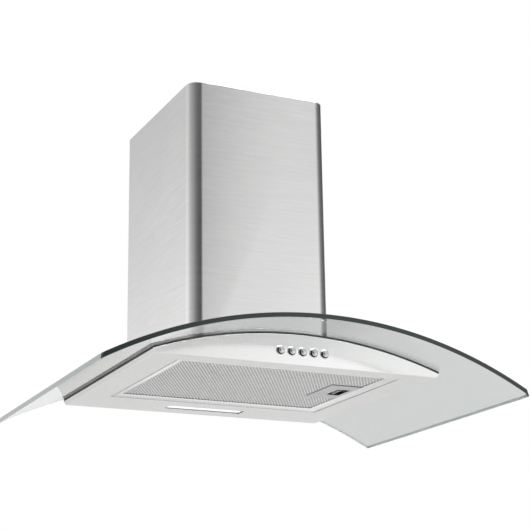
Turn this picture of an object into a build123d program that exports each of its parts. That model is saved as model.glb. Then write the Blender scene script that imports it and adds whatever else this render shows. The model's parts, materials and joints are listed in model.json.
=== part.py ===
from build123d import *
import math
import os

# Wall-mounted chimney hood with a curved glass canopy.
# X runs left to right seen from the front, Y towards the wall, Z up. Millimetres.
# The model is laid out with Z = 0 at the underside of the body and Y = 0 at the wall;
# every node is then written out with its origin at the centre of the wall screws.

# ---- canopy glass ----
glass_width = 600.0
glass_side_depth = 442.0
glass_front_crown = 4.5
glass_thickness = 6.0
glass_radius = 634.0  # underside of the arch
glass_front_corner = 14.0
glass_wall_gap = 2.0
glass_notch_margin = 4.0  # notch edge beyond the chassis
glass_hole_r = 6.0
glass_screw_x = 158.0
glass_screw_inset = 42.0  # from the front and the rear of the body
gasket_thickness = 3.0
gasket_width = 10.0

# ---- body ----
body_width = 405.2  # underside
body_flare = 4.0  # each side leans out by this much
body_side_height = 4.9
body_depth = 361.0
body_wall_gap = 9.0
fascia_gauge = 1.0
fascia_lip = 14.0
panel_gauge = 1.0
cover_gauge = 0.8
rear_gauge = 0.8
sheet_gap = 0.3

# ---- chimneys ----
chimney_width = 214.0
chimney_depth = 250.0
chimney_corner = 18.0
chimney_gauge = 0.8
chimney_flange = 12.0
chimney_top = 430.0
chimney_foot_gap = 0.4  # above the glass
slide_gap = 1.0
upper_chimney_drop = 2.0  # its top below the rim of the lower chimney
upper_chimney_foot_gap = 3.0  # its foot above the foot brackets
vent_count = 5
vent_length = 90.0
vent_height = 5.0
vent_pitch = 14.0
vent_top_gap = 24.0

# ---- upper wall bracket ----
bracket_height = 30.0
bracket_gauge = 1.2
bracket_drop = 5.0
bracket_step = 8.0
bracket_arm = 34.0
bracket_hole_spacing = 120.0
bracket_hole_r = 3.0

# ---- chassis ----
chassis_side_gap = 1.7  # to the flanges of the upper chimney
chassis_front_gap = 14.0  # to the front of the lower chimney
chassis_gauge = 1.5
chassis_glass_gap = 6.0  # back plate above the top of the glass
chassis_above_collar = 40.0  # above the collar plate
chassis_post = 18.0
chassis_window_drop = 6.0  # top of the side windows below the collar plate
chassis_window_corner = 8.0
chassis_foot = 20.0
wall_screw_spacing_x = 150.0
wall_screw_spacing_z = 200.0
wall_screw_height = 185.0  # centre of the pattern above the underside of the body
wall_screw_hole_r = 4.0
brace_height = 26.0
foot_bracket_gap = 4.0  # above the glass
foot_bracket_height = 12.0
foot_bracket_length = 30.0
foot_bracket_inset = 60.0  # from the rear, and from the front of the chassis
brace_fold = 8.0

# ---- blower ----
blower_wall_gap = 5.0
blower_clearance = 9.9  # above the foot brackets of the chimney
wheel_r = 75.0
wheel_length = 100.0
blade_depth = 12.0
blade_gauge = 1.2
blade_count = 32
blade_sweep = 32.0
wheel_rim_gauge = 2.0
hub_r = 12.0
hub_length = 24.0
shaft_r = 4.0
running_gap = 0.05
wheel_gap = 7.0  # to the scroll at its narrowest
scroll_growth = 7.0
scroll_half = 58.0  # inside, from the split to one wall
scroll_wall = 2.0
scroll_flange = 8.0
scroll_flange_gauge = 2.5
outlet_width = 120.0
outlet_height = 125.0  # above the wheel axis
inlet_overlap = 11.0  # blades hidden behind the inlet edge
lug_r = 6.0
blower_screw_r = 2.0
motor_r = 42.0
motor_length = 48.0
motor_boss_r = 30.0
motor_nose_r = 12.6
motor_nose = 3.0
motor_bore_depth = 22.0
motor_rear_round = 5.0
motor_front_round = 3.0
motor_groove_count = 10
motor_groove_width = 4.0
motor_groove_depth = 3.0
motor_groove_inset = 12.0
shaft_end_gap = 1.0
shaft_overhang = 3.0  # beyond the hub
wheel_rim_width = 4.0
bracket_ring = 14.0
spider_gauge = 2.0
spider_arm = 13.0

# ---- duct collar and flaps ----
duct_r = 75.0
duct_wall = 2.0
duct_height = 58.0
collar_plate_gauge = 2.0
collar_plate_margin = 10.0
seat_gauge = 2.0
seat_width = 5.0
flap_gauge = 1.2
flap_gap = 2.0
flap_pin_r = 1.5
flap_pin_offset = 4.0
flap_knuckle_r = 3.0
flap_seat_height = 8.0
flap_seat_gap = 0.4
flap_barrel_margin = 6.0
flap_rib_gauge = 1.6
flap_rib_height = 3.0
flap_rib_reach = 0.7  # share of the flap radius
pin_end_gap = 0.3

# ---- grease filter ----
filter_side_margin = 42.1  # edge of the body to the filter
filter_front_margin = 32.8
filter_rear_margin = 77.8
filter_height = 9.0
filter_reveal = 0.5  # filter underside above the underside of the body
filter_gap = 1.5
filter_rim = 12.0
filter_rim_rise = 2.6
filter_wall = 1.2
filter_flange = 4.2  # height of the upturned edge of the opening
mesh_gauge = 0.8
mesh_gap = 0.3
tab_length = 7.0
tab_width = 20.0
tab_gauge = 1.2
tab_spacing = 150.0
tab_gap = 0.4

# ---- filter latch ----
latch_offset = -7.0  # from the middle of the filter
latch_plate_length = 47.0
latch_plate_width = 80.0
latch_plate_gauge = 0.8
latch_slot_length = 20.0
latch_slot_width = 38.0
latch_slot_margin = 6.0
latch_slot_corner = 2.0
latch_slot_rise = 0.4  # tray underside to the mesh
latch_wall_drop = 1.0  # tray walls and bar below the top of the filter
latch_travel = 6.0
latch_grip_offset = 6.6  # from the left end of the slot
latch_grip_gauge = 1.4
latch_bar_width = 26.0
latch_bar_gauge = 1.0
latch_tongue_width = 18.0
latch_tongue_reach = 6.0
latch_tongue_gauge = 1.8
latch_riser_gauge = 2.0
latch_pad_gauge = 1.5
latch_pad_width = 10.0
latch_pad_height = 3.2
latch_spring_r = 1.5
latch_spring_wire = 0.25
latch_spring_length = 12.0
latch_spring_turns = 6
spring_end_gap = 0.2

# ---- lamp ----
lamp_width = 121.0
lamp_depth = 24.0
lamp_rear_margin = 25.0  # rear of the body to the opening
lamp_reveal = 2.2
lamp_cover_gauge = 1.8
lamp_cover_gap = 0.7
lamp_lip = 2.0
lamp_lip_gauge = 1.2
lamp_dish_edge = 1.0
lamp_dish_end = 7.0
lamp_dish_side = 4.0
lamp_hinge_inset = 2.2  # hinge line to the rear of the opening
lamp_hinge_rise = 1.6
lamp_hinge_block = 2.4
lamp_hinge_gap = 0.6
trunnion_r = 1.2
trunnion_length = 3.6
lamp_housing_gauge = 0.8
lamp_housing_margin = 4.0
lamp_housing_cover_gap = 3.6
bulb_r = 9.5
bulb_length = 84.0
bulb_cap_r = 7.1
bulb_cap_length = 11.0
holder_r = 11.5
holder_length = 27.0
holder_socket_r = 7.5
holder_socket_depth = 12.0
holder_gap = 0.3

# ---- push buttons and switch ----
button_count = 5
button_pitch = 16.0
button_z = 17.0
button_r = 4.5
button_proud = 4.0
button_inside = 4.0
button_round = 1.1
button_gap = 0.5
button_stem_r = 2.5
button_stem_length = 13.0
button_travel = 3.0
button_spring_wire = 0.3
button_spring_space = 8.0  # rear of the cap to the bracket
button_spring_turns = 5
button_spring_slack = 0.9
switch_bracket_gauge = 1.5
switch_depth = 16.0
switch_height = 20.0
switch_margin = 9.0
switch_bracket_margin = 10.0
switch_foot = 30.0
switch_raise = 2.0
switch_bore_gap = 0.4
switch_bore_end = 0.6
switch_tab_width = 6.0
switch_tab_length = 5.0
switch_tab_gauge = 1.0

# ---- wiring ----
loom_r = 3.0
loom_inset = 8.0  # terminal box middle to the loom
loom_entry = 4.0
loom_hole_gap = 0.2
loom_clip_wall = 2.0
loom_clip_rise = 14.0
loom_clip_height = 8.0
loom_bend_share = 0.45
terminal_depth = 60.0
terminal_height = 56.0
terminal_scroll_gap = 6.0
terminal_wall = 2.0
terminal_front_gap = 1.0  # to the front edge of the chassis
terminal_above_foot = 30.0  # above the foot brackets
terminal_lid_gap = 0.3
capacitor_r = 12.0
capacitor_length = 60.0
capacitor_front_gap = 21.0  # its axis to the front edge of the chassis
capacitor_above_foot = 34.0
capacitor_side_gap = 3.0
capacitor_round = 1.5
capacitor_tab_spacing = 8.0
capacitor_tab_width = 6.0
capacitor_tab_gauge = 0.8
capacitor_clip_gauge = 1.5
capacitor_clip_height = 12.0
capacitor_strap_width = 10.0
capacitor_clip_gap = 0.05
gland_bore_r = 4.0
gland_r = 8.0
gland_height = 16.0
gland_neck_wall = 1.8
gland_neck_gap = 0.2
gland_hexagon = 6.0
gland_nut_step = 1.4

# ---- wall spacers ----
spacer_r = 8.0
spacer_x = 150.0
spacer_z = 11.0

# ---- screws and bushes ----
glass_screw_r = 2.5
glass_head_r = 5.5
glass_head_height = 3.0
small_head_r = 3.6
small_head_height = 2.2
chassis_screw_length = 6.0
washer_gauge = 1.2
nut_r = 4.5
nut_height = 4.0
bush_flange_r = 9.0
bush_flange = 1.0
bush_slack = 0.1
guard_boss_r = 10.0

# ---- values worked out from the above ----
body_rear = -body_wall_gap
body_front = body_rear - body_depth
body_half = body_width / 2
body_half_top = body_half + body_flare
body_radius = glass_radius - gasket_thickness  # top of the body, under the gasket
cover_inner = body_radius - cover_gauge
arch_z = body_side_height - math.sqrt(body_radius**2 - body_half_top**2)  # axis of the arch
glass_top_radius = glass_radius + glass_thickness
glass_top = arch_z + glass_top_radius
glass_rear = -glass_wall_gap
glass_front_side = glass_rear - glass_side_depth
chimney_inner_half = chimney_width / 2 - chimney_gauge
upper_width = chimney_width - 2 * (chimney_gauge + slide_gap)
upper_depth = chimney_depth - 2 * (chimney_gauge + slide_gap)
upper_rear = -(chimney_gauge + slide_gap)
upper_inner_half = upper_width / 2 - chimney_gauge
chassis_half = upper_width / 2 - chimney_flange - chassis_side_gap
chassis_inner = chassis_half - chassis_gauge
chassis_depth = chimney_depth - chassis_front_gap
chassis_bottom = glass_top + chassis_glass_gap
filter_width = body_width - 2 * filter_side_margin
filter_depth = body_depth - filter_front_margin - filter_rear_margin
filter_left = -filter_width / 2
filter_right = filter_width / 2
filter_front = body_front + filter_front_margin
filter_rear = body_rear - filter_rear_margin
filter_centre_y = (filter_front + filter_rear) / 2
filter_top = filter_reveal + filter_height
mesh_z = filter_reveal + filter_rim_rise + filter_wall
latch_y = filter_centre_y + latch_offset
lamp_centre_y = body_rear - lamp_rear_margin - lamp_depth / 2


def arch_height(radius, x):
    """Height of the arch of this radius above the underside, at x."""
    return arch_z + math.sqrt(radius**2 - x**2)


bracket_low = arch_height(glass_top_radius, chassis_half) + foot_bracket_gap
bracket_high = bracket_low + foot_bracket_height
foot_bracket_ys = (-foot_bracket_inset, foot_bracket_inset - chimney_depth)
upper_top = chimney_top - upper_chimney_drop
upper_bottom = bracket_high + upper_chimney_foot_gap
scroll_start_r = wheel_r + wheel_gap
inlet_r = wheel_r - inlet_overlap
blower_y = -(blower_wall_gap + scroll_flange + scroll_start_r)
blower_z = bracket_high + blower_clearance + scroll_flange + scroll_start_r + scroll_growth
collar_y = blower_y - scroll_start_r - 3 * scroll_growth + outlet_width / 2
collar_z = blower_z + outlet_height
chassis_top = collar_z + chassis_above_collar
terminal_y = terminal_front_gap + terminal_depth / 2 - chassis_depth
terminal_z = bracket_high + terminal_above_foot + terminal_height / 2
capacitor_y = capacitor_front_gap - chassis_depth
capacitor_z = bracket_high + capacitor_above_foot
lamp_housing_half = lamp_width / 2 + lamp_housing_margin
latch_tray_z = mesh_z - latch_plate_gauge - latch_slot_rise
switch_half = (button_count - 1) / 2 * button_pitch + switch_margin
lamp_housing_top = arch_height(cover_inner, lamp_housing_half) - lamp_housing_cover_gap


def block(x0, x1, y0, y1, z0, z1):
    centre = Pos((x0 + x1) / 2, (y0 + y1) / 2, (z0 + z1) / 2)
    return centre * Box(abs(x1 - x0), abs(y1 - y0), abs(z1 - z0))


def rod_x(radius, x0, x1, y, z):
    return Pos((x0 + x1) / 2, y, z) * Rot(0, 90, 0) * Cylinder(radius, abs(x1 - x0))


def rod_y(radius, x, y0, y1, z):
    return Pos(x, (y0 + y1) / 2, z) * Rot(90, 0, 0) * Cylinder(radius, abs(y1 - y0))


def rod_z(radius, x, y, z0, z1):
    return Pos(x, y, (z0 + z1) / 2) * Cylinder(radius, abs(z1 - z0))


def arch_slab(inner, outer, half_width, y_front, y_rear):
    """A strip of the arch between two radii, as wide and as deep as given."""
    ring = rod_y(outer, 0, y_front, y_rear, arch_z) - rod_y(inner, 0, y_front - 1, y_rear + 1, arch_z)
    return ring & block(-half_width, half_width, y_front, y_rear, -glass_width, 2 * glass_width)


def on_arch(x, y, radius):
    """A place on the arch whose own Z points away from the axis of the arch."""
    tilt = math.degrees(math.asin(x / radius))
    return Pos(0, y, arch_z) * Rot(0, tilt, 0) * Pos(0, 0, radius)


def screw(shank_r, length, head_r, head_height):
    """A dome-head screw: head above Z = 0, shank below."""
    dome = Pos(0, 0, head_height / 2) * Cylinder(head_r, head_height)
    dome = fillet(dome.edges().group_by(Axis.Z)[-1], head_height * 0.6)
    slot = Pos(0, 0, head_height) * Box(2.2 * head_r, head_r * 0.22, head_height * 0.7)
    return dome - slot + Pos(0, 0, -length / 2) * Cylinder(shank_r, length)


def body_outline(drop):
    """End profile of the body: flat below, flared at the sides, arched above."""
    radius = body_radius - drop
    side_z = arch_height(radius, body_half_top)
    points = [(-body_half_top, side_z), (-body_half, 0), (body_half, 0), (body_half_top, side_z)]
    lower = [Line(a, b) for a, b in zip(points, points[1:])]
    upper = ThreePointArc(points[-1], (0, arch_height(radius, 0)), points[0])
    return make_face([*lower, upper])


def upright_plate(face, y_front, gauge):
    """The XZ face stood up with its front at y_front and its rear one gauge behind."""
    plate = extrude(Plane.XZ * face, amount=-gauge)
    return Pos(0, y_front, 0) * plate


# ---- body panels ----

def button_places():
    middle = (button_count - 1) / 2
    return [(index - middle) * button_pitch for index in range(button_count)]


def fascia_panel():
    plate = upright_plate(body_outline(0), body_front, fascia_gauge)
    lip_rear = body_front + fascia_lip
    lip_half = body_half_top - 2 * fascia_gauge
    lip = arch_slab(body_radius - fascia_gauge, body_radius, lip_half, body_front, lip_rear)
    panel = plate + lip
    for x in button_places():
        panel -= rod_y(button_r + button_gap, x, body_front - 1, body_front + 2 * fascia_gauge, button_z)
    return panel


def rear_panel():
    return upright_plate(body_outline(0), body_rear - rear_gauge, rear_gauge)


def filter_opening(extra):
    half = filter_width / 2 + filter_gap + extra
    low = filter_front - filter_gap - extra
    high = filter_rear + filter_gap + extra
    return block(-half, half, low, high, -1, filter_flange)


def lamp_opening(extra):
    half_x = lamp_width / 2 + extra
    half_y = lamp_depth / 2 + extra
    return block(-half_x, half_x, lamp_centre_y - half_y, lamp_centre_y + half_y, -1, 2 * lamp_reveal)


def bottom_panel():
    side_z = arch_height(body_radius, body_half_top)
    lean = panel_gauge * math.hypot(body_flare, side_z) / side_z
    inner_half = body_half - lean + panel_gauge * body_flare / side_z
    outer = [(-body_half_top, side_z), (-body_half, 0), (body_half, 0), (body_half_top, side_z)]
    inner = [(body_half_top - lean, side_z), (inner_half, panel_gauge)]
    inner += [(-inner_half, panel_gauge), (lean - body_half_top, side_z)]
    section = make_face(Polyline(*outer, *inner, close=True))
    front = body_front + fascia_gauge
    rear = body_rear - rear_gauge
    panel = upright_plate(section, front, rear - front)
    above_panel = block(-body_half, body_half, body_front, body_rear, 0, filter_flange)
    flange = filter_opening(panel_gauge) & above_panel
    panel = panel + flange - filter_opening(0)
    return panel - lamp_opening(0)


def top_cover():
    front = body_front + fascia_lip + sheet_gap
    rear = body_rear - rear_gauge - sheet_gap
    half = body_half_top - 3 * panel_gauge
    cover = arch_slab(cover_inner, body_radius, half, front, rear)
    opening_half = chassis_half + sheet_gap
    cover -= block(-opening_half, opening_half, -chassis_depth - sheet_gap, 0, 0, chimney_top)
    for place in glass_screw_places():
        cover -= place * Cylinder(glass_screw_r + sheet_gap, 4 * gasket_thickness)
    for place in foot_screw_places():
        cover -= place * Cylinder(blower_screw_r + sheet_gap, 4 * cover_gauge)
    return cover


def wall_spacers():
    pads = [rod_y(spacer_r, x, body_rear, 0, spacer_z) for x in (-spacer_x, spacer_x)]
    return [chamfer(pad.edges().group_by(Axis.Y)[-1], 1) for pad in pads]


# ---- glass ----

def glass_screw_places():
    """Where the four glass screws stand, on the underside of the glass."""
    front = body_front + glass_screw_inset
    rear = body_rear - glass_screw_inset
    return [on_arch(x, y, glass_radius) for x in (-glass_screw_x, glass_screw_x) for y in (front, rear)]


def glass_gasket():
    outer_half = body_half_top - sheet_gap
    ring = arch_slab(body_radius, glass_radius, outer_half, body_front + sheet_gap, body_rear - sheet_gap)
    inner_half = outer_half - gasket_width
    front, rear = body_front + gasket_width, body_rear - gasket_width
    hole = block(-inner_half, inner_half, front, rear, 0, chimney_top)
    return ring - hole - glass_notch()


def glass_notch():
    """Space for the chassis, open at the rear of the glass."""
    half = chassis_half + glass_notch_margin
    return block(-half, half, -chassis_depth - glass_notch_margin, 1, 0, chimney_top)


def glass_canopy():
    half = glass_width / 2
    rear_left, rear_right = (-half, glass_rear), (half, glass_rear)
    front_right, front_left = (half, glass_front_side), (-half, glass_front_side)
    front = ThreePointArc(front_right, (0, glass_front_side - glass_front_crown), front_left)
    lines = [Line(rear_left, rear_right), Line(rear_right, front_right), front, Line(front_left, rear_left)]
    plan = make_face(lines)
    plan = fillet(plan.vertices().group_by(Axis.Y)[0], glass_front_corner)
    prism = Pos(0, 0, -glass_width / 2) * extrude(plan, amount=glass_width)
    wider = half + glass_front_corner
    arch = arch_slab(glass_radius, glass_top_radius, wider, 2 * glass_front_side, 1)
    sheet = (arch & prism) - glass_notch()
    for place in glass_screw_places():
        sheet -= place * Pos(0, 0, glass_thickness / 2) * Cylinder(glass_hole_r, 2 * glass_thickness)
    return sheet


def glass_bushes():
    below_height = gasket_thickness - 4 * bush_slack
    below = Pos(0, 0, -gasket_thickness / 2) * Cylinder(bush_flange_r, below_height)
    neck_height = glass_thickness + bush_flange + gasket_thickness / 2
    neck = Pos(0, 0, neck_height / 2 - gasket_thickness / 2) * Cylinder(glass_hole_r - bush_slack, neck_height)
    flange_z = glass_thickness + bush_slack + bush_flange / 2
    above = Pos(0, 0, flange_z) * Cylinder(bush_flange_r, bush_flange)
    bush = below + neck + above - Cylinder(glass_screw_r + bush_slack, 6 * glass_thickness)
    return [place * bush for place in glass_screw_places()]


def glass_washers():
    bottom = glass_thickness + 2 * bush_slack + bush_flange
    disc = Cylinder(bush_flange_r, washer_gauge) - Cylinder(glass_screw_r + bush_slack, 2 * washer_gauge)
    return [place * Pos(0, 0, bottom + washer_gauge / 2) * disc for place in glass_screw_places()]


def glass_screws():
    seat = glass_thickness + 3 * bush_slack + bush_flange + washer_gauge
    length = seat + gasket_thickness + cover_gauge + nut_height
    part = screw(glass_screw_r, length, glass_head_r, glass_head_height)
    nut_z = -gasket_thickness - cover_gauge - nut_height / 2 - bush_slack
    nut = extrude(RegularPolygon(nut_r, 6), amount=nut_height / 2, both=True)
    part = Pos(0, 0, seat) * part + Pos(0, 0, nut_z) * nut
    return [place * part for place in glass_screw_places()]


# ---- chimneys ----

def channel(width, depth, corner, rear_y, z0, z1):
    """A folded sheet channel: rounded front corners, return flanges at the rear."""
    def shell(inset):
        half = width / 2 - inset
        solid = block(-half, half, rear_y - depth + inset, rear_y - inset, z0, z1)
        return fillet(solid.edges().filter_by(Axis.Z).group_by(Axis.Y)[0], corner - inset)

    mouth_half = width / 2 - chimney_flange
    mouth = block(-mouth_half, mouth_half, rear_y - 2 * chimney_gauge, rear_y + 1, z0, z1)
    return shell(0) - shell(chimney_gauge) - mouth


def lower_chimney():
    tube = channel(chimney_width, chimney_depth, chimney_corner, 0, 0, chimney_top)
    return tube - rod_y(glass_top_radius + chimney_foot_gap, 0, -chimney_depth - 1, 1, arch_z)


def upper_chimney():
    corner = chimney_corner - chimney_gauge - slide_gap
    tube = channel(upper_width, upper_depth, corner, upper_rear, upper_bottom, upper_top)
    middle_y = upper_rear - upper_depth / 2
    for index in range(vent_count):
        z = upper_top - vent_top_gap - index * vent_pitch
        slot = block(-upper_width, upper_width, middle_y - vent_length / 2, middle_y + vent_length / 2,
                     z - vent_height / 2, z + vent_height / 2)
        tube -= fillet(slot.edges().filter_by(Axis.X), vent_height * 0.45)
    return tube


def upper_bracket():
    z1 = upper_top - bracket_drop
    z0 = z1 - bracket_height
    strap_half = upper_width / 2 - chimney_flange - slide_gap
    arm_outer = upper_inner_half
    strap = block(-strap_half, strap_half, -bracket_gauge, 0, z0, z1)
    for side in (-1, 1):
        strap += block(side * strap_half, side * (strap_half - bracket_gauge), -bracket_step, 0, z0, z1)
        strap += block(side * (strap_half - bracket_gauge), side * arm_outer,
                       -bracket_step, -bracket_step + bracket_gauge, z0, z1)
        strap += block(side * (arm_outer - bracket_gauge), side * arm_outer,
                       -bracket_arm, -bracket_step + bracket_gauge, z0, z1)
        strap -= rod_y(bracket_hole_r, side * bracket_hole_spacing / 2, -5, 5, (z0 + z1) / 2)
    return strap


def chimney_brackets():
    """Four small channels that join the foot of the lower chimney to the chassis."""
    pieces = []
    outer = chimney_inner_half
    inner = chassis_half
    for side in (-1, 1):
        for y in foot_bracket_ys:
            y0, y1 = y - foot_bracket_length / 2, y + foot_bracket_length / 2
            piece = block(side * inner, side * outer, y0, y1, bracket_low, bracket_low + bracket_gauge)
            piece += block(side * inner, side * (inner + bracket_gauge), y0, y1, bracket_low, bracket_high)
            piece += block(side * (outer - bracket_gauge), side * outer, y0, y1, bracket_low, bracket_high)
            middle_z = (bracket_low + bracket_high) / 2
            piece -= rod_x(blower_screw_r + bush_slack, side * (inner - 1), side * (inner + 3), y, middle_z)
            pieces.append(piece)
    return pieces


# ---- chassis ----

def chassis_back():
    plate = block(-chassis_half, chassis_half, -chassis_gauge, 0, chassis_bottom, chassis_top)
    for x in (-1, 1):
        for z in (-1, 1):
            z_hole = wall_screw_height + z * wall_screw_spacing_z / 2
            plate -= rod_y(wall_screw_hole_r, x * wall_screw_spacing_x / 2, -5, 5, z_hole)
    return plate


def foot_screw_places():
    """Where the chassis is screwed under the top cover, on top of the cover."""
    x = chassis_half + chassis_foot / 2
    ys = (-chassis_depth + chassis_post, -body_wall_gap - chassis_post)
    return [on_arch(side * x, y, body_radius) for side in (-1, 1) for y in ys]


def chassis_side(side):
    """One side plate with a window for the air and a foot under the top cover."""
    inner = chassis_inner
    front, rear = -chassis_depth, -chassis_gauge
    plate = block(side * inner, side * chassis_half, front, rear, 0, chassis_top)
    window = block(side * (inner - 1), side * (chassis_half + 1), front + chassis_post, rear - chassis_post,
                   bracket_high + chassis_post, collar_z - chassis_window_drop)
    plate -= fillet(window.edges().filter_by(Axis.X), chassis_window_corner)
    plate -= block(-chimney_width, chimney_width, body_rear - rear_gauge - sheet_gap, 1, 0, chassis_bottom)
    foot_outer = cover_inner - sheet_gap / 3
    foot_inner = foot_outer - chassis_gauge
    foot = arch_slab(foot_inner, foot_outer, chassis_half + chassis_foot, front, -body_wall_gap - 3)
    foot &= block(side * inner, side * chimney_width, front, rear, 0, chimney_top)
    plate = plate - rod_y(foot_inner, 0, front - 1, 0, arch_z) + foot
    for place in foot_screw_places():
        plate -= place * Cylinder(blower_screw_r + bush_slack, 6 * chassis_gauge)
    middle_z = (bracket_low + bracket_high) / 2
    hole_r = blower_screw_r + bush_slack
    for y in foot_bracket_ys:
        plate -= rod_x(hole_r, side * (inner - 1), side * (chassis_half + 1), y, middle_z)
    return plate


def chassis_brace():
    z1 = chassis_top
    z0 = z1 - brace_height
    y0 = -chassis_depth
    strap = block(-chassis_half, chassis_half, y0 - chassis_gauge, y0, z0, z1)
    stiffener = block(-chassis_half + 2 * chassis_gauge, chassis_half - 2 * chassis_gauge,
                      y0, y0 + brace_fold, z1 - chassis_gauge, z1)
    return strap + stiffener


def chassis_screws():
    """Foot screws from above the cover and bracket screws from inside the chassis."""
    part = screw(blower_screw_r, chassis_screw_length, small_head_r, small_head_height)
    screws = [place * Pos(0, 0, bush_slack) * part for place in foot_screw_places()]
    for side in (-1, 1):
        for y in foot_bracket_ys:
            seat = side * (chassis_inner - bush_slack)
            middle_z = (bracket_low + bracket_high) / 2
            screws.append(Pos(seat, y, middle_z) * Rot(0, -side * 90, 0) * part)
    return screws


# ---- blower ----

def scroll_face(grow):
    """Spiral outline in Y and Z, grown outwards by the same amount all round."""
    r1 = scroll_start_r + grow
    r2 = r1 + scroll_growth
    r3 = r2 + scroll_growth
    g = scroll_growth
    left = -g - (scroll_start_r + 2 * g) - grow
    right = left + outlet_width + 2 * grow
    start = (right, math.sqrt(r1**2 - right**2))
    top = outlet_height
    diagonal = math.sqrt(0.5)
    middle_angle = math.atan2(start[1], start[0]) / 2
    arc_a = ThreePointArc(start, (r1 * math.cos(middle_angle), r1 * math.sin(middle_angle)), (r1, 0))
    arc_b = ThreePointArc((r1, 0), (-g + r2 * diagonal, -r2 * diagonal), (-g, -r2))
    arc_c = ThreePointArc((-g, -r2), (-g - r3 * diagonal, g - r3 * diagonal), (-g - r3, g))
    lines = [Line((left, g), (left, top)), Line((left, top), (right, top)), Line((right, top), start)]
    return make_face([arc_a, arc_b, arc_c, *lines])


def scroll_solid(grow, x0, x1):
    """The spiral outline extruded along X, at the place of the blower."""
    solid = extrude(Plane.YZ * scroll_face(grow), amount=abs(x1 - x0))
    return Pos(min(x0, x1), blower_y, blower_z) * solid


def lug_places():
    """Screw lugs round the split, as offsets from the wheel axis."""
    reach = scroll_wall + lug_r
    left = -3 * scroll_growth - scroll_start_r - reach
    right = left + outlet_width + 2 * reach
    r2 = scroll_start_r + scroll_growth + reach
    r3 = r2 + scroll_growth
    side_z = outlet_height - 2 * lug_r
    low_right = (-scroll_growth + r2 * math.cos(math.radians(-40)), r2 * math.sin(math.radians(-40)))
    diagonal = math.sqrt(0.5)
    low_left = (-scroll_growth - r3 * diagonal, scroll_growth - r3 * diagonal)
    return [(left, side_z), (right, side_z), low_right, low_left]


def scroll_half_shell(side):
    outer_x = side * (scroll_half + scroll_wall)
    shell = scroll_solid(scroll_wall, 0, outer_x)
    shell += scroll_solid(scroll_flange, 0, side * scroll_flange_gauge)
    for u, v in lug_places():
        shell += rod_x(lug_r, 0, side * 2 * scroll_flange_gauge, blower_y + u, blower_z + v)
    shell -= scroll_solid(0, 0, side * scroll_half)
    shell -= rod_x(inlet_r, 0, 2 * outer_x, blower_y, blower_z)
    for u, v in lug_places():
        shell -= rod_x(blower_screw_r + bush_slack, 0, outer_x, blower_y + u, blower_z + v)
    for u, v in ring_screw_places():
        shell -= rod_x(blower_screw_r, side * scroll_half, 2 * outer_x, blower_y + u, blower_z + v)
    return shell & block(-chassis_half, chassis_half, -chassis_depth, 0, 0, collar_z)


def ring_screw_places():
    radius = inlet_r + bracket_ring / 2
    angles = [math.radians(90 + 120 * index) for index in range(3)]
    return [(radius * math.cos(angle), radius * math.sin(angle)) for angle in angles]


def inlet_spider(side, centre_r):
    """Ring with three arms that covers an inlet; the left one carries the motor."""
    x0 = side * (scroll_half + scroll_wall)
    x1 = x0 + side * spider_gauge
    ring = rod_x(inlet_r + bracket_ring, x0, x1, blower_y, blower_z)
    ring -= rod_x(inlet_r, x0 - side, x1 + side, blower_y, blower_z)
    ring += rod_x(centre_r, x0, x1, blower_y, blower_z)
    for index in range(3):
        arm = block(x0, x1, -spider_arm / 2, spider_arm / 2, centre_r / 2, inlet_r + 2)
        ring += Pos(0, blower_y, blower_z) * Rot(120 * index, 0, 0) * arm
    for u, v in ring_screw_places():
        ring -= rod_x(blower_screw_r + bush_slack, x0 - side, x1 + side, blower_y + u, blower_z + v)
    return ring


def motor_bracket():
    return inlet_spider(-1, motor_boss_r)


def inlet_guard():
    return inlet_spider(1, guard_boss_r)


def motor_body():
    """External case hung from the bracket, with a nose that the shaft runs in."""
    x0 = -scroll_half - scroll_wall
    x1 = x0 + motor_length
    case = rod_x(motor_r, x0, x1, blower_y, blower_z)
    case = fillet(case.edges().group_by(Axis.X)[-1], motor_rear_round)
    case = fillet(case.edges().group_by(Axis.X)[0], motor_front_round)
    case += rod_x(motor_nose_r, x1 - 1, x1 + motor_nose, blower_y, blower_z)
    bore = rod_x(shaft_r + running_gap, x1 - motor_bore_depth, x1 + 2 * motor_nose, blower_y, blower_z)
    groove_half = motor_groove_width / 2
    groove_x = (x0 + motor_groove_inset, x1 - motor_groove_inset)
    cut = block(*groove_x, -groove_half, groove_half, motor_r - motor_groove_depth, 2 * motor_r)
    for index in range(motor_groove_count):
        case -= Pos(0, blower_y, blower_z) * Rot(360 / motor_groove_count * index, 0, 0) * cut
    return case - bore


def motor_shaft():
    end = -scroll_half - scroll_wall + motor_length - motor_bore_depth + shaft_end_gap
    return rod_x(shaft_r, end, hub_length / 2 + shaft_overhang, blower_y, blower_z)


def impeller():
    """Double-inlet wheel: middle disc, two end rims, blades between them."""
    half = wheel_length / 2
    inner = wheel_r - blade_depth
    wheel = rod_x(wheel_r, -wheel_rim_gauge / 2, wheel_rim_gauge / 2, 0, 0)
    wheel += rod_x(hub_r, -hub_length / 4, hub_length / 2, 0, 0)
    for x0 in (-half, half - wheel_rim_gauge):
        rim = rod_x(wheel_r, x0, x0 + wheel_rim_gauge, 0, 0)
        wheel += rim - rod_x(wheel_r - wheel_rim_width, x0 - 1, x0 + wheel_rim_gauge + 1, 0, 0)
    blade = block(-half, half, -blade_gauge / 2, blade_gauge / 2, -blade_depth / 2, blade_depth / 2)
    blade = Pos(0, 0, (wheel_r + inner) / 2 - 1) * Rot(blade_sweep, 0, 0) * blade
    blades = [Rot(360 / blade_count * index, 0, 0) * blade for index in range(blade_count)]
    wheel = wheel + blades
    wheel -= rod_x(shaft_r, -half, half, 0, 0)
    return Pos(0, blower_y, blower_z) * wheel


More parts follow.
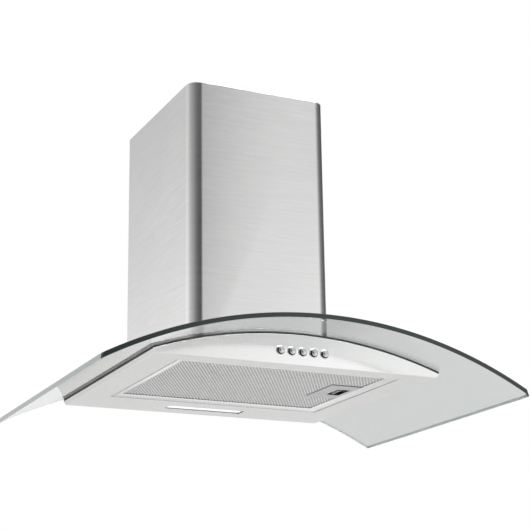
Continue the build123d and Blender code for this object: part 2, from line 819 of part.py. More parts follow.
def blower_screws():
    """Screws of the scroll lugs and of both inlet rings."""
    lug_part = screw(blower_screw_r, 4 * scroll_flange_gauge, small_head_r, small_head_height)
    seat = 2 * scroll_flange_gauge + bush_slack
    screws = []
    for u, v in lug_places():
        screws.append(Pos(seat, blower_y + u, blower_z + v) * Rot(0, 90, 0) * lug_part)
    ring_length = spider_gauge + scroll_wall
    ring_part = screw(blower_screw_r - bush_slack, ring_length, small_head_r, small_head_height)
    for side in (-1, 1):
        x = side * (scroll_half + scroll_wall + spider_gauge + bush_slack)
        for u, v in ring_screw_places():
            screws.append(Pos(x, blower_y + u, blower_z + v) * Rot(0, side * 90, 0) * ring_part)
    return screws


# ---- duct collar and flaps ----

def outlet_collar():
    z0 = collar_z
    half_x = chassis_inner
    half_y = duct_r + collar_plate_margin
    plate = block(-half_x, half_x, collar_y - half_y, collar_y + half_y, z0, z0 + collar_plate_gauge)
    top = z0 + duct_height
    tube = rod_z(duct_r, 0, collar_y, z0, top)
    bore_r = duct_r - duct_wall
    collar = plate + tube - rod_z(bore_r, 0, collar_y, z0 - 1, top + 1)
    seat_z = z0 + flap_seat_height
    seat = rod_z(bore_r + 1, 0, collar_y, seat_z - seat_gauge, seat_z)
    seat -= rod_z(bore_r - seat_width, 0, collar_y, seat_z - 2 * seat_gauge, seat_z + 1)
    collar += seat
    for side in (-1, 1):
        x = side * flap_pin_offset
        collar -= rod_y(flap_pin_r, x, collar_y - 2 * duct_r, collar_y + 2 * duct_r, flap_axis_z())
    return collar


def flap_axis_z():
    return collar_z + flap_seat_height + flap_knuckle_r + flap_seat_gap


def flap_pins():
    reach = math.sqrt(duct_r**2 - flap_pin_offset**2) - pin_end_gap
    places = (-flap_pin_offset, flap_pin_offset)
    return [rod_y(flap_pin_r, x, collar_y - reach, collar_y + reach, flap_axis_z()) for x in places]


def damper_flap(side):
    """Half disc with a hinge barrel along its straight edge."""
    radius = duct_r - duct_wall - flap_gap
    y0, y1 = collar_y - duct_r, collar_y + duct_r
    z0 = collar_z + flap_seat_height + flap_seat_gap
    axis_x = side * flap_pin_offset
    disc = rod_z(radius, 0, collar_y, z0, z0 + flap_gauge)
    disc &= block(axis_x, side * duct_r, y0, y1, z0 - 1, z0 + 2 * flap_gauge)
    barrel_half = radius - flap_barrel_margin
    flap = disc + rod_y(flap_knuckle_r, axis_x, collar_y - barrel_half, collar_y + barrel_half, flap_axis_z())
    for place in (-0.5, 0.5):
        y = collar_y + place * radius
        rib_low, rib_high = y - flap_rib_gauge / 2, y + flap_rib_gauge / 2
        rib_start, rib_end = side * (flap_pin_offset + 1), side * radius * flap_rib_reach
        flap += block(rib_start, rib_end, rib_low, rib_high, z0 + flap_gauge / 2, z0 + flap_rib_height)
    return flap - rod_y(flap_pin_r + running_gap, axis_x, y0, y1, flap_axis_z())


# ---- grease filter ----

def filter_frame():
    z0 = filter_reveal
    z1 = filter_top
    frame = block(filter_left, filter_right, filter_front, filter_rear, z0, z1)
    wide = Pos(0, filter_centre_y, z0) * Rectangle(filter_width - 2, filter_depth - 2)
    window = (filter_width - 2 * filter_rim, filter_depth - 2 * filter_rim)
    narrow = Pos(0, filter_centre_y, z0 + filter_rim_rise) * Rectangle(*window)
    frame -= loft([wide, narrow])
    frame -= Pos(0, filter_centre_y, z0) * Box(*window, 4 * filter_height)
    frame -= block(filter_left + filter_wall, filter_right - filter_wall, filter_front + filter_wall,
                   filter_rear - filter_wall, mesh_z, z1 + 1)
    tongue_half = latch_tongue_width / 2 + mesh_gap
    tongue_z0 = filter_flange + tab_gap - mesh_gap
    tongue_z1 = tongue_z0 + latch_tongue_gauge + 2 * mesh_gap
    frame -= block(filter_right - 2 * filter_wall, filter_right + 1,
                   latch_y - tongue_half, latch_y + tongue_half, tongue_z0, tongue_z1)
    for offset in (-tab_spacing / 2, tab_spacing / 2):
        y = filter_centre_y + offset
        z = filter_flange + tab_gap
        frame += block(filter_left - tab_length, filter_left + filter_wall / 2,
                       y - tab_width / 2, y + tab_width / 2, z, z + tab_gauge)
    return frame


def latch_window(extra, z0, z1):
    x1 = filter_right - filter_rim
    x0 = x1 - latch_plate_length - extra
    half = latch_plate_width / 2 + extra
    return block(x0, filter_right, latch_y - half, latch_y + half, z0, z1)


def filter_layer(z0, z1):
    inset = filter_wall + mesh_gap
    low, high = filter_front + inset, filter_rear - inset
    return block(filter_left + inset, filter_right - inset, low, high, z0, z1)


def filter_face_mesh():
    return filter_layer(mesh_z, mesh_z + mesh_gauge) - latch_window(mesh_gap, 0, filter_top)


def filter_core():
    z0 = mesh_z + mesh_gauge + 0.1
    return filter_layer(z0, filter_top) - latch_window(mesh_gap, 0, filter_top + 1)


def latch_plate():
    """Tray in the corner of the mesh, with the finger slot and the spring stop."""
    x1 = filter_right - filter_rim - mesh_gap
    x0 = x1 - latch_plate_length + mesh_gap
    half = latch_plate_width / 2
    z0, z1 = latch_tray_z, filter_top - latch_wall_drop
    plate = block(x0, x1, latch_y - half, latch_y + half, z0, z0 + latch_plate_gauge)
    plate += block(x0, x0 + latch_plate_gauge, latch_y - half, latch_y + half, z0, z1)
    for side in (-1, 1):
        edge = latch_y + side * half
        plate += block(x0, x1, edge, edge - side * latch_plate_gauge, z0, z1)
    slot_x1 = x1 - latch_slot_margin
    slot_x0 = slot_x1 - latch_slot_length
    slot_half = latch_slot_width / 2
    slot = block(slot_x0, slot_x1, latch_y - slot_half, latch_y + slot_half, z0 - 1, z0 + 2)
    return plate - fillet(slot.edges().filter_by(Axis.Z), latch_slot_corner)


def latch_bar_z():
    return filter_top - latch_wall_drop - latch_bar_gauge


def latch_spring_span():
    start = filter_right - filter_rim - latch_plate_length + latch_plate_gauge
    return start, start + latch_spring_length


def latch_slider():
    """Flat bar with a finger grip below it and a tongue over the edge of the opening."""
    bar_z = latch_bar_z()
    bar_x0 = latch_spring_span()[1]
    bar_x1 = filter_right - filter_wall - latch_travel / 2
    half = latch_bar_width / 2
    bar = block(bar_x0, bar_x1, latch_y - half, latch_y + half, bar_z, bar_z + latch_bar_gauge)
    slot_x0 = filter_right - filter_rim - mesh_gap - latch_slot_margin - latch_slot_length
    grip_x0 = slot_x0 + latch_grip_offset
    grip = block(grip_x0, grip_x0 + latch_grip_gauge, latch_y - half, latch_y + half, latch_tray_z, bar_z)
    tongue_z = filter_flange + tab_gap
    low, high = latch_y - latch_tongue_width / 2, latch_y + latch_tongue_width / 2
    riser_x0 = bar_x1 - 2 * latch_riser_gauge
    tongue_end = filter_right + latch_tongue_reach
    tongue = block(riser_x0, tongue_end, low, high, tongue_z, tongue_z + latch_tongue_gauge)
    bar_middle = bar_z + latch_bar_gauge / 2
    riser = block(riser_x0, riser_x0 + latch_riser_gauge, low, high, tongue_z, bar_middle)
    pad_low, pad_high = latch_y - latch_pad_width / 2, latch_y + latch_pad_width / 2
    pad = block(bar_x0, bar_x0 + latch_pad_gauge, pad_low, pad_high, bar_z - latch_pad_height, bar_middle)
    return bar + grip + tongue + riser + pad


def coil_spring(radius, wire, length, turns):
    """Helical spring along Z from 0 to length, with its ends inside that span."""
    pitch = (length - 2 * wire) / turns
    path = Helix(pitch, length - 2 * wire, radius)
    section = Plane(origin=path @ 0, z_dir=path % 0) * Circle(wire)
    return Pos(0, 0, wire) * sweep(section, path=path, is_frenet=True)


def latch_spring():
    start, end = latch_spring_span()
    length = end - start - 2 * spring_end_gap
    spring = coil_spring(latch_spring_r, latch_spring_wire, length, latch_spring_turns)
    spring_z = latch_bar_z() - latch_spring_r - latch_spring_wire
    return Pos(start + spring_end_gap, latch_y, spring_z) * Rot(0, 90, 0) * spring


# ---- lamp ----

def lamp_axis():
    """Hinge line of the lamp cover, near its rear edge."""
    return lamp_centre_y + lamp_depth / 2 - lamp_hinge_inset, lamp_reveal + lamp_hinge_rise


def lamp_cover():
    half_x = lamp_width / 2 - lamp_cover_gap
    y0 = lamp_centre_y - lamp_depth / 2 + lamp_cover_gap
    y1 = lamp_centre_y + lamp_depth / 2 - lamp_cover_gap
    z0 = lamp_reveal
    z1 = z0 + lamp_cover_gauge
    tray = block(-half_x, half_x, y0, y1, z0, z1 + lamp_lip)
    wall = lamp_lip_gauge
    tray -= block(-half_x + wall, half_x - wall, y0 + wall, y1 - wall, z1, z1 + lamp_lip + 1)
    width, depth = 2 * half_x, y1 - y0
    dish = Rectangle(width - 2 * lamp_dish_edge, depth - 2 * lamp_dish_edge)
    flat = Rectangle(width - 2 * lamp_dish_end, depth - 2 * lamp_dish_side)
    centre = Pos(0, lamp_centre_y, z0)
    tray -= loft([centre * dish, centre * Pos(0, 0, lamp_cover_gauge / 2) * flat])
    axis_y, axis_z = lamp_axis()
    for side in (-1, 1):
        tray += rod_x(trunnion_r, side * (half_x - 1), side * (half_x + trunnion_length), axis_y, axis_z)
    return tray


def lamp_housing():
    wall = lamp_housing_gauge
    half_x = lamp_housing_half
    y0 = lamp_centre_y - lamp_depth / 2 - lamp_housing_margin
    y1 = lamp_centre_y + lamp_depth / 2 + lamp_housing_margin
    z0 = panel_gauge
    shell = block(-half_x, half_x, y0, y1, z0, lamp_housing_top)
    shell -= block(-half_x + wall, half_x - wall, y0 + wall, y1 - wall, z0 - 1, lamp_housing_top - wall)
    axis_y, axis_z = lamp_axis()
    inner = lamp_width / 2 - lamp_cover_gap + lamp_hinge_gap
    around = lamp_hinge_block
    for side in (-1, 1):
        shell += block(side * inner, side * half_x, axis_y - around, axis_y + around, z0, axis_z + around)
        shell -= rod_x(trunnion_r + running_gap, side * (inner - 1), side * (half_x - wall), axis_y, axis_z)
    return shell


def lamp_middle_z():
    return lamp_housing_top - lamp_housing_gauge - holder_r - holder_gap


def lamp_holder():
    x0 = -lamp_width / 2 - lamp_housing_margin + lamp_housing_gauge
    z = lamp_middle_z()
    holder = rod_x(holder_r, x0, x0 + holder_length, lamp_centre_y, z)
    socket_x0 = x0 + holder_length - holder_socket_depth
    holder -= rod_x(holder_socket_r, socket_x0, x0 + holder_length + 1, lamp_centre_y, z)
    return chamfer(holder.edges().group_by(Axis.X)[0], holder_r / 8)


def lamp_bulb():
    x0 = -lamp_width / 2 - lamp_housing_margin + lamp_housing_gauge + holder_length
    z = lamp_middle_z()
    cap = rod_x(bulb_cap_r, x0 - bulb_cap_length, x0 + 1, lamp_centre_y, z)
    tube = rod_x(bulb_r, x0 + holder_gap, x0 + bulb_length, lamp_centre_y, z)
    tube = fillet(tube.edges().group_by(Axis.X)[-1], bulb_r * 0.9)
    return cap + tube


# ---- push buttons and switch ----

def button_cap_rear():
    return body_front + button_inside


def push_button(x):
    front = body_front - button_proud
    rear = button_cap_rear()
    cap = rod_y(button_r, x, front, rear, button_z)
    cap = fillet(cap.edges().group_by(Axis.Y)[0], button_round)
    stem = rod_y(button_stem_r, x, rear, rear + button_stem_length, button_z)
    return cap + stem


def switch_bracket_y():
    return button_cap_rear() + button_spring_space


def button_spring(x):
    length = button_spring_space - spring_end_gap
    radius = button_stem_r + button_spring_slack
    spring = coil_spring(radius, button_spring_wire, length, button_spring_turns)
    rear = button_cap_rear() + spring_end_gap / 2 + length
    return Pos(x, rear, button_z) * Rot(90, 0, 0) * spring


def switch_bracket():
    half = switch_half + switch_bracket_margin
    y0 = switch_bracket_y()
    y1 = y0 + switch_bracket_gauge
    z0 = panel_gauge
    z1 = button_z + switch_height / 2
    plate = block(-half, half, y0, y1, z0, z1)
    plate += block(-half, half, y0, body_front + switch_foot, z0, z0 + switch_bracket_gauge)
    for x in button_places():
        plate -= rod_y(button_stem_r + running_gap, x, y0 - 1, y1 + 1, button_z)
    return plate


def switch_block_y():
    return button_cap_rear() + button_stem_length + button_travel + switch_bore_end


def switch_block():
    y0 = switch_bracket_y() + switch_bracket_gauge
    y1 = y0 + switch_depth
    z0 = button_z - switch_height / 2 + switch_raise
    z1 = button_z + switch_height / 2
    body = block(-switch_half, switch_half, y0, y1, z0, z1)
    body = fillet(body.edges().filter_by(Axis.Y), switch_bracket_gauge)
    tab_z = z0 + switch_tab_length
    tab_half = switch_tab_width / 2
    for x in button_places():
        body -= rod_y(button_stem_r + switch_bore_gap, x, y0 - 1, switch_block_y(), button_z)
        tab_y = y1 + switch_tab_length
        body += block(x - tab_half, x + tab_half, y1 - 1, tab_y, tab_z, tab_z + switch_tab_gauge)
    return body


# ---- wiring ----

def terminal_span():
    y0, y1 = terminal_y - terminal_depth / 2, terminal_y + terminal_depth / 2
    z0, z1 = terminal_z - terminal_height / 2, terminal_z + terminal_height / 2
    lid_x = -(scroll_half + scroll_wall + terminal_scroll_gap)
    return -chassis_inner, lid_x, y0, y1, z0, z1


def loom_x():
    x0, x1 = terminal_span()[:2]
    return (x0 + x1) / 2


def terminal_box():
    """Open towards the blower, closed by its lid; the cord enters at the top."""
    x0, x1, y0, y1, z0, z1 = terminal_span()
    wall = terminal_wall
    box = block(x0, x1 - wall, y0, y1, z0, z1)
    box -= block(x0 + wall, x1, y0 + wall, y1 - wall, z0 + wall, z1 - wall)
    gland_hole_r = gland_bore_r + gland_neck_wall + gland_neck_gap
    box -= rod_z(gland_hole_r, loom_x(), terminal_y, z1 - 2 * wall, z1 + 1)
    return box - rod_z(loom_r + loom_hole_gap, loom_x(), loom_start_y(), z0 - 1, z0 + 2 * wall)


def terminal_lid():
    """Flat lid with a locating rim inside the box."""
    x0, x1, y0, y1, z0, z1 = terminal_span()
    wall = terminal_wall
    edge = wall + terminal_lid_gap
    lid = block(x1 - wall, x1, y0, y1, z0, z1)
    lid += block(x1 - 2 * wall, x1 - wall, y0 + edge, y1 - edge, z0 + edge, z1 - edge)
    inside = 2 * wall
    return lid - block(x0, x1 - wall, y0 + inside, y1 - inside, z0 + inside, z1 - inside)


def cable_gland():
    """Hexagonal gland on top of the terminal box, bored for the mains cord."""
    z1 = terminal_span()[5]
    x = loom_x()
    gland = rod_z(gland_bore_r + gland_neck_wall, x, terminal_y, z1 - 2 * terminal_wall, z1)
    gland += Pos(x, terminal_y, z1) * extrude(RegularPolygon(gland_r, 6), amount=gland_hexagon)
    gland += rod_z(gland_r - gland_nut_step, x, terminal_y, z1 + gland_hexagon, z1 + gland_height)
    return gland - rod_z(gland_bore_r, x, terminal_y, z1 - 4 * terminal_wall, z1 + gland_height + 1)


def loom_start_y():
    return terminal_y - loom_inset


def loom_points():
    """Corners of the loom: down the chassis side, forward along the body, to the switch."""
    y = loom_start_y()
    end_y = switch_bracket_y() + switch_bracket_gauge + switch_depth + switch_tab_length + loom_hole_gap
    reach = end_y - y
    side_x = loom_x()
    end_x = -button_pitch
    return [
        (side_x, y, terminal_span()[4] + terminal_wall + loom_entry),
        (side_x, y, 3 * button_z),
        (0.95 * side_x, y + 0.18 * reach, 1.3 * button_z),
        (0.67 * side_x, y + 0.5 * reach, button_z),
        (0.33 * side_x, y + 0.7 * reach, button_z - 1),
        (end_x, y + 0.9 * reach, button_z),
        (end_x, end_y, button_z),
    ]


def wiring_loom():
    """Internal cable from the terminal box, down through the chassis to the switch."""
    points = loom_points()
    runs = [math.dist(a, b) for a, b in zip(points, points[1:])]
    radii = []
    for before, corner, after, run_a, run_b in zip(points, points[1:], points[2:], runs, runs[1:]):
        way_in = Vector(*corner) - Vector(*before)
        way_out = Vector(*after) - Vector(*corner)
        half_turn = math.radians(way_in.get_angle(way_out)) / 2
        radii.append(loom_bend_share * min(run_a, run_b) / math.tan(half_turn))
    print("wiring_loom radii", [round(radius) for radius in radii])
    path = FilletPolyline(*points, radius=radii)
    section = Plane(origin=path @ 0, z_dir=path % 0) * Circle(loom_r)
    cable = sweep(section, path=path)
    straight = math.pi * loom_r**2 * path.length
    print("wiring_loom volume over section times length", round(cable.volume / straight, 4))
    return cable


def loom_clip():
    """Clip on the side plate, round the straight part of the cable."""
    y = loom_start_y()
    around = loom_r + loom_clip_wall
    z0 = bracket_high + loom_clip_rise
    z1 = z0 + loom_clip_height
    clip = block(-chassis_inner, loom_x() + around, y - around, y + around, z0, z1)
    return clip - rod_z(loom_r + running_gap, loom_x(), y, z0 - 1, z1 + 1)


def capacitor_x():
    return chassis_inner - capacitor_r - capacitor_side_gap


def capacitor():
    x = capacitor_x()
    z1 = capacitor_z + capacitor_length
    can = rod_z(capacitor_r, x, capacitor_y, capacitor_z, z1)
    can = fillet(can.edges().group_by(Axis.Z)[0], capacitor_round)
    tab_half, gauge_half = capacitor_tab_width / 2, capacitor_tab_gauge / 2
    for side in (-1, 1):
        y = capacitor_y + side * capacitor_tab_spacing / 2
        top = z1 + capacitor_tab_spacing
        can += block(x - tab_half, x + tab_half, y - gauge_half, y + gauge_half, z1 - 1, top)
    return can


def capacitor_clip():
    """Ring round the capacitor with a strap to the chassis side."""
    x = capacitor_x()
    z0 = capacitor_z + (capacitor_length - capacitor_clip_height) / 2
    z1 = z0 + capacitor_clip_height
    strap_half = capacitor_strap_width / 2
    clip = rod_z(capacitor_r + capacitor_clip_gauge, x, capacitor_y, z0, z1)
    clip += block(x, chassis_inner, capacitor_y - strap_half, capacitor_y + strap_half, z0, z1)
    return clip - rod_z(capacitor_r + capacitor_clip_gap, x, capacitor_y, z0 - 1, z1 + 1)


# ---- writing the nodes ----

nodes = {
    "fascia_panel": fascia_panel,
    "bottom_panel": bottom_panel,
    "rear_panel": rear_panel,
    "top_cover": top_cover,
    "wall_spacers": wall_spacers,
    "glass_gasket": glass_gasket,
    "glass_canopy": glass_canopy,
    "glass_bushes": glass_bushes,
    "glass_washers": glass_washers,
    "glass_screws": glass_screws,
    "lower_chimney": lower_chimney,
    "chimney_brackets": chimney_brackets,
    "upper_chimney": upper_chimney,
    "upper_bracket": upper_bracket,
    "chassis_back": chassis_back,
    "chassis_left": lambda: chassis_side(-1),
    "chassis_right": lambda: chassis_side(1),
    "chassis_brace": chassis_brace,
    "chassis_screws": chassis_screws,
    "scroll_left": lambda: scroll_half_shell(-1),
    "scroll_right": lambda: scroll_half_shell(1),
    "motor_bracket": motor_bracket,
    "inlet_guard": inlet_guard,
    "motor_body": motor_body,
    "motor_shaft": motor_shaft,
    "impeller": impeller,
    "blower_screws": blower_screws,
    "outlet_collar": outlet_collar,
    "flap_pins": flap_pins,
    "flap_left": lambda: damper_flap(-1),
    "flap_right": lambda: damper_flap(1),
    "filter_frame": filter_frame,
    "filter_face_mesh": filter_face_mesh,
    "filter_core": filter_core,
    "latch_plate": latch_plate,
    "latch_slider": latch_slider,
    "latch_spring": latch_spring,
    "lamp_cover": lamp_cover,
    "lamp_housing": lamp_housing,
    "lamp_holder": lamp_holder,
    "lamp_bulb": lamp_bulb,
    "switch_bracket": switch_bracket,
    "switch_block": switch_block,
    "terminal_box": terminal_box,
    "terminal_lid": terminal_lid,
    "cable_gland": cable_gland,
    "wiring_loom": wiring_loom,
    "loom_clip": loom_clip,
    "capacitor": capacitor,
    "capacitor_clip": capacitor_clip,
}


def write_node(name, made):
    solids = made if isinstance(made, list) else [made]
    placed = [Pos(0, 0, -wall_screw_height) * solid for solid in solids]
    whole = placed[0] if len(placed) == 1 else Compound(children=[Part() + piece for piece in placed])
    export_step(whole, "parts/" + name + ".step")


os.makedirs("parts", exist_ok=True)
for node, make in nodes.items():
    write_node(node, make())
for index, place in enumerate(button_places(), start=1):
    write_node("button_" + str(index), push_button(place))
    write_node("button_spring_" + str(index), button_spring(place))
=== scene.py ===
import json
import math

import bpy
from mathutils import Matrix, Vector

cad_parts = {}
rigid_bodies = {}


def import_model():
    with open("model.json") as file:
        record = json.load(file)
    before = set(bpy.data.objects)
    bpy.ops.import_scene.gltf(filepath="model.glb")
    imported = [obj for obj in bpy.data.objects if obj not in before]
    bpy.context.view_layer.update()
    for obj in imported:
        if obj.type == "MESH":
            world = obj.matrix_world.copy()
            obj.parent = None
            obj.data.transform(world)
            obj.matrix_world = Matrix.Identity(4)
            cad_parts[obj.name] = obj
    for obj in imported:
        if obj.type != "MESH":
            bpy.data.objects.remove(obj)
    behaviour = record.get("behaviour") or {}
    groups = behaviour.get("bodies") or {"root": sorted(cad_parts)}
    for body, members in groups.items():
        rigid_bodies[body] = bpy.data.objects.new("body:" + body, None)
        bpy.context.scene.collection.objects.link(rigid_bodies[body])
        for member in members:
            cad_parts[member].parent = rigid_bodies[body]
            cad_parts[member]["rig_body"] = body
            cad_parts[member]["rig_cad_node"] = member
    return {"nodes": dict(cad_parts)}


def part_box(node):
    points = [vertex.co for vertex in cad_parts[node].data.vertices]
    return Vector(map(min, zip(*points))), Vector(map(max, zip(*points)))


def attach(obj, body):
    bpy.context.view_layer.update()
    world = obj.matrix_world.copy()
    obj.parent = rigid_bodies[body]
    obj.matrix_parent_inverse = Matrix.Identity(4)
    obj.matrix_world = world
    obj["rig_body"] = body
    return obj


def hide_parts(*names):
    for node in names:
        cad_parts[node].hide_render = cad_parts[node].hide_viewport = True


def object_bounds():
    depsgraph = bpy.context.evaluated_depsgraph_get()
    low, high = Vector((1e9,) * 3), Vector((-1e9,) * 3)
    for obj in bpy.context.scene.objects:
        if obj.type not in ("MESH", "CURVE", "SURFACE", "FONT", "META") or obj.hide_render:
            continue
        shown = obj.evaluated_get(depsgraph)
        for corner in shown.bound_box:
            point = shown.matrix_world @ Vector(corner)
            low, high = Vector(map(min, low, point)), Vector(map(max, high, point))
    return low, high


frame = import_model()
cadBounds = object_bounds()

nodes = frame["nodes"]
scene = bpy.context.scene
scene.view_settings.view_transform = "Standard"
print("hood frame loaded,", len(nodes), "parts")


# ways of working that every piece uses

def letGo():
    if bpy.context.object and bpy.context.object.mode != "OBJECT":
        bpy.ops.object.mode_set(mode="OBJECT")
    bpy.ops.object.select_all(action="DESELECT")


def work(piece):
    letGo()
    piece.select_set(True)
    bpy.context.view_layer.objects.active = piece


def pickFaces(piece, test):
    work(piece)
    bpy.ops.object.mode_set(mode="EDIT")
    bpy.ops.mesh.select_mode(type="FACE")
    bpy.ops.mesh.select_all(action="DESELECT")
    bpy.ops.object.mode_set(mode="OBJECT")
    for face in piece.data.polygons:
        face.select = bool(test(face.center, face.normal))
    bpy.ops.object.mode_set(mode="EDIT")


def pickEdges(piece, test):
    work(piece)
    bpy.ops.object.mode_set(mode="EDIT")
    bpy.ops.mesh.select_mode(type="EDGE")
    bpy.ops.mesh.select_all(action="DESELECT")
    bpy.ops.object.mode_set(mode="OBJECT")
    corners = piece.data.vertices
    for edge in piece.data.edges:
        edge.select = bool(test(corners[edge.vertices[0]].co, corners[edge.vertices[1]].co))
    bpy.ops.object.mode_set(mode="EDIT")


def pickAll(piece):
    work(piece)
    bpy.ops.object.mode_set(mode="EDIT")
    bpy.ops.mesh.select_all(action="SELECT")


def settle(piece):  # place, turn and size go into the mesh
    work(piece)
    bpy.ops.object.transform_apply(location=True, rotation=True, scale=True)


def newBlock(name, low, high):
    letGo()
    low, high = Vector(low), Vector(high)
    bpy.ops.mesh.primitive_cube_add(size=1, location=(low + high) / 2)
    piece = bpy.context.object
    piece.name = name
    piece.scale = high - low
    settle(piece)
    return piece


def newRod(name, radius, length, centre, turn=(0, 0, 0), sides=48):
    letGo()
    bpy.ops.mesh.primitive_cylinder_add(
        vertices=sides, radius=radius, depth=length, location=centre, rotation=turn)
    piece = bpy.context.object
    piece.name = name
    settle(piece)
    return piece


def cutWith(piece, tool, how="DIFFERENCE"):
    work(piece)
    cut = piece.modifiers.new("cut", "BOOLEAN")
    cut.operation = how
    cut.solver = "EXACT"
    cut.object = tool
    bpy.ops.object.modifier_apply(modifier="cut")
    bpy.data.objects.remove(tool)


def softenEdges(piece, width, segments=2, angle=35):
    work(piece)
    soft = piece.modifiers.new("soft", "BEVEL")
    soft.width = width
    soft.segments = segments
    soft.limit_method = "ANGLE"
    soft.angle_limit = math.radians(angle)
    soft.harden_normals = True
    bpy.ops.object.modifier_apply(modifier="soft")


def smooth(piece, angle=32):
    work(piece)
    bpy.ops.object.shade_smooth_by_angle(angle=math.radians(angle))


def facesOut(piece):
    pickAll(piece)
    bpy.ops.mesh.remove_doubles(threshold=0.00001)
    bpy.ops.mesh.normals_make_consistent(inside=False)
    bpy.ops.object.mode_set(mode="OBJECT")


def copyOf(piece, name, shift):
    work(piece)
    bpy.ops.object.duplicate(linked=False)
    copied = bpy.context.object
    copied.name = name
    copied.location = shift
    settle(copied)
    return copied


def joinAll(pieces, name):
    letGo()
    for piece in pieces:
        piece.select_set(True)
    bpy.context.view_layer.objects.active = pieces[0]
    bpy.ops.object.join()
    pieces[0].name = name
    return pieces[0]


def place(piece, body, slot, *replaced):
    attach(piece, body)
    if replaced:
        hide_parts(*replaced)


# finishes

def newGroup(name, inputs, outputs):
    group = bpy.data.node_groups.new(name, "ShaderNodeTree")
    for label, kind, value in inputs:
        socket = group.interface.new_socket(name=label, in_out="INPUT", socket_type=kind)
        socket.default_value = value
    for label, kind in outputs:
        group.interface.new_socket(name=label, in_out="OUTPUT", socket_type=kind)
    ways = group.nodes
    return group, ways, group.links, ways.new("NodeGroupInput"), ways.new("NodeGroupOutput")


def mathNode(ways, links, kind, first, second):
    node = ways.new("ShaderNodeMath")
    node.operation = kind
    for index, value in enumerate((first, second)):
        if isinstance(value, (int, float)):
            node.inputs[index].default_value = value
        else:
            links.new(value, node.inputs[index])
    return node.outputs[0]


def spread(ways, links, source, low, high):  # 0..1 becomes low..high
    node = ways.new("ShaderNodeMapRange")
    links.new(source, node.inputs["Value"])
    for label, value in (("To Min", low), ("To Max", high)):
        if isinstance(value, (int, float)):
            node.inputs[label].default_value = value
        else:
            links.new(value, node.inputs[label])
    return node.outputs["Result"]


def easedRange(ways, links, source, start, end, low=0.0, high=1.0):
    node = ways.new("ShaderNodeMapRange")
    node.interpolation_type = "SMOOTHSTEP"
    for label, value in (("From Min", start), ("From Max", end), ("To Min", low), ("To Max", high)):
        node.inputs[label].default_value = value
    links.new(source, node.inputs["Value"])
    return node.outputs["Result"]


def noise(ways, links, vector, scale, detail=3.0, roughness=0.55):
    node = ways.new("ShaderNodeTexNoise")
    node.inputs["Scale"].default_value = scale
    node.inputs["Detail"].default_value = detail
    node.inputs["Roughness"].default_value = roughness
    links.new(vector, node.inputs["Vector"])
    return node.outputs["Fac"]


def scaled(ways, links, vector, stretch):
    node = ways.new("ShaderNodeVectorMath")
    node.operation = "MULTIPLY"
    links.new(vector, node.inputs[0])
    if isinstance(stretch, tuple):
        node.inputs[1].default_value = stretch
    else:
        links.new(stretch, node.inputs[1])
    return node.outputs[0]


def tinted(ways, links, colour, factor):
    node = ways.new("ShaderNodeVectorMath")
    node.operation = "SCALE"
    links.new(colour, node.inputs[0])
    links.new(factor, node.inputs["Scale"])
    return node.outputs[0]


def makeBrushGrain():
    # long fine scratches along the sheet, with faint cloudy patches under them
    group, ways, links, given, result = newGroup(
        "brushGrain",
        [("Steel", "NodeSocketColor", (0.7, 0.7, 0.7, 1)), ("Stretch", "NodeSocketVector", (6, 6, 1400)),
         ("Contrast", "NodeSocketFloat", 0.06), ("Roughness", "NodeSocketFloat", 0.28)],
        [("Colour", "NodeSocketColor"), ("Roughness", "NodeSocketFloat"), ("Height", "NodeSocketFloat")])
    at = ways.new("ShaderNodeTexCoord").outputs["Object"]
    fine = noise(ways, links, scaled(ways, links, at, given.outputs["Stretch"]), 1.0, 4.0, 0.7)
    cloud = noise(ways, links, at, 9.0, 3.0, 0.5)
    low = mathNode(ways, links, "SUBTRACT", 1.0, given.outputs["Contrast"])
    high = mathNode(ways, links, "ADD", 1.0, given.outputs["Contrast"])
    mix = mathNode(ways, links, "ADD", mathNode(ways, links, "MULTIPLY", fine, 0.75),
                   mathNode(ways, links, "MULTIPLY", cloud, 0.25))
    links.new(tinted(ways, links, given.outputs["Steel"], spread(ways, links, mix, low, high)),
              result.inputs["Colour"])
    rough = mathNode(ways, links, "ADD", given.outputs["Roughness"], spread(ways, links, mix, -0.05, 0.07))
    links.new(rough, result.inputs["Roughness"])
    links.new(fine, result.inputs["Height"])
    return group


def makeMouldedSkin():
    # moulded or cast skin: fine pebble, faint dust lying in it
    group, ways, links, given, result = newGroup(
        "mouldedSkin",
        [("Tone", "NodeSocketColor", (0.1, 0.1, 0.1, 1)), ("Dust", "NodeSocketFloat", 0.1),
         ("Roughness", "NodeSocketFloat", 0.5), ("Grain", "NodeSocketFloat", 900.0)],
        [("Colour", "NodeSocketColor"), ("Roughness", "NodeSocketFloat"), ("Height", "NodeSocketFloat")])
    at = ways.new("ShaderNodeTexCoord").outputs["Object"]
    pebble = ways.new("ShaderNodeTexNoise")
    pebble.inputs["Detail"].default_value = 2.0
    links.new(at, pebble.inputs["Vector"])
    links.new(given.outputs["Grain"], pebble.inputs["Scale"])
    patch = noise(ways, links, at, 22.0, 4.0, 0.6)
    dusty = mathNode(ways, links, "MULTIPLY", patch, given.outputs["Dust"])
    mix = ways.new("ShaderNodeMix")
    mix.data_type = "RGBA"
    links.new(dusty, mix.inputs[0])
    links.new(given.outputs["Tone"], mix.inputs[6])
    mix.inputs[7].default_value = (0.5, 0.48, 0.45, 1)
    links.new(tinted(ways, links, mix.outputs[2], spread(ways, links, pebble.outputs["Fac"], 0.86, 1.14)),
              result.inputs["Colour"])
    rough = mathNode(ways, links, "ADD", given.outputs["Roughness"], spread(ways, links, patch, -0.08, 0.08))
    links.new(rough, result.inputs["Roughness"])
    links.new(pebble.outputs["Fac"], result.inputs["Height"])
    return group


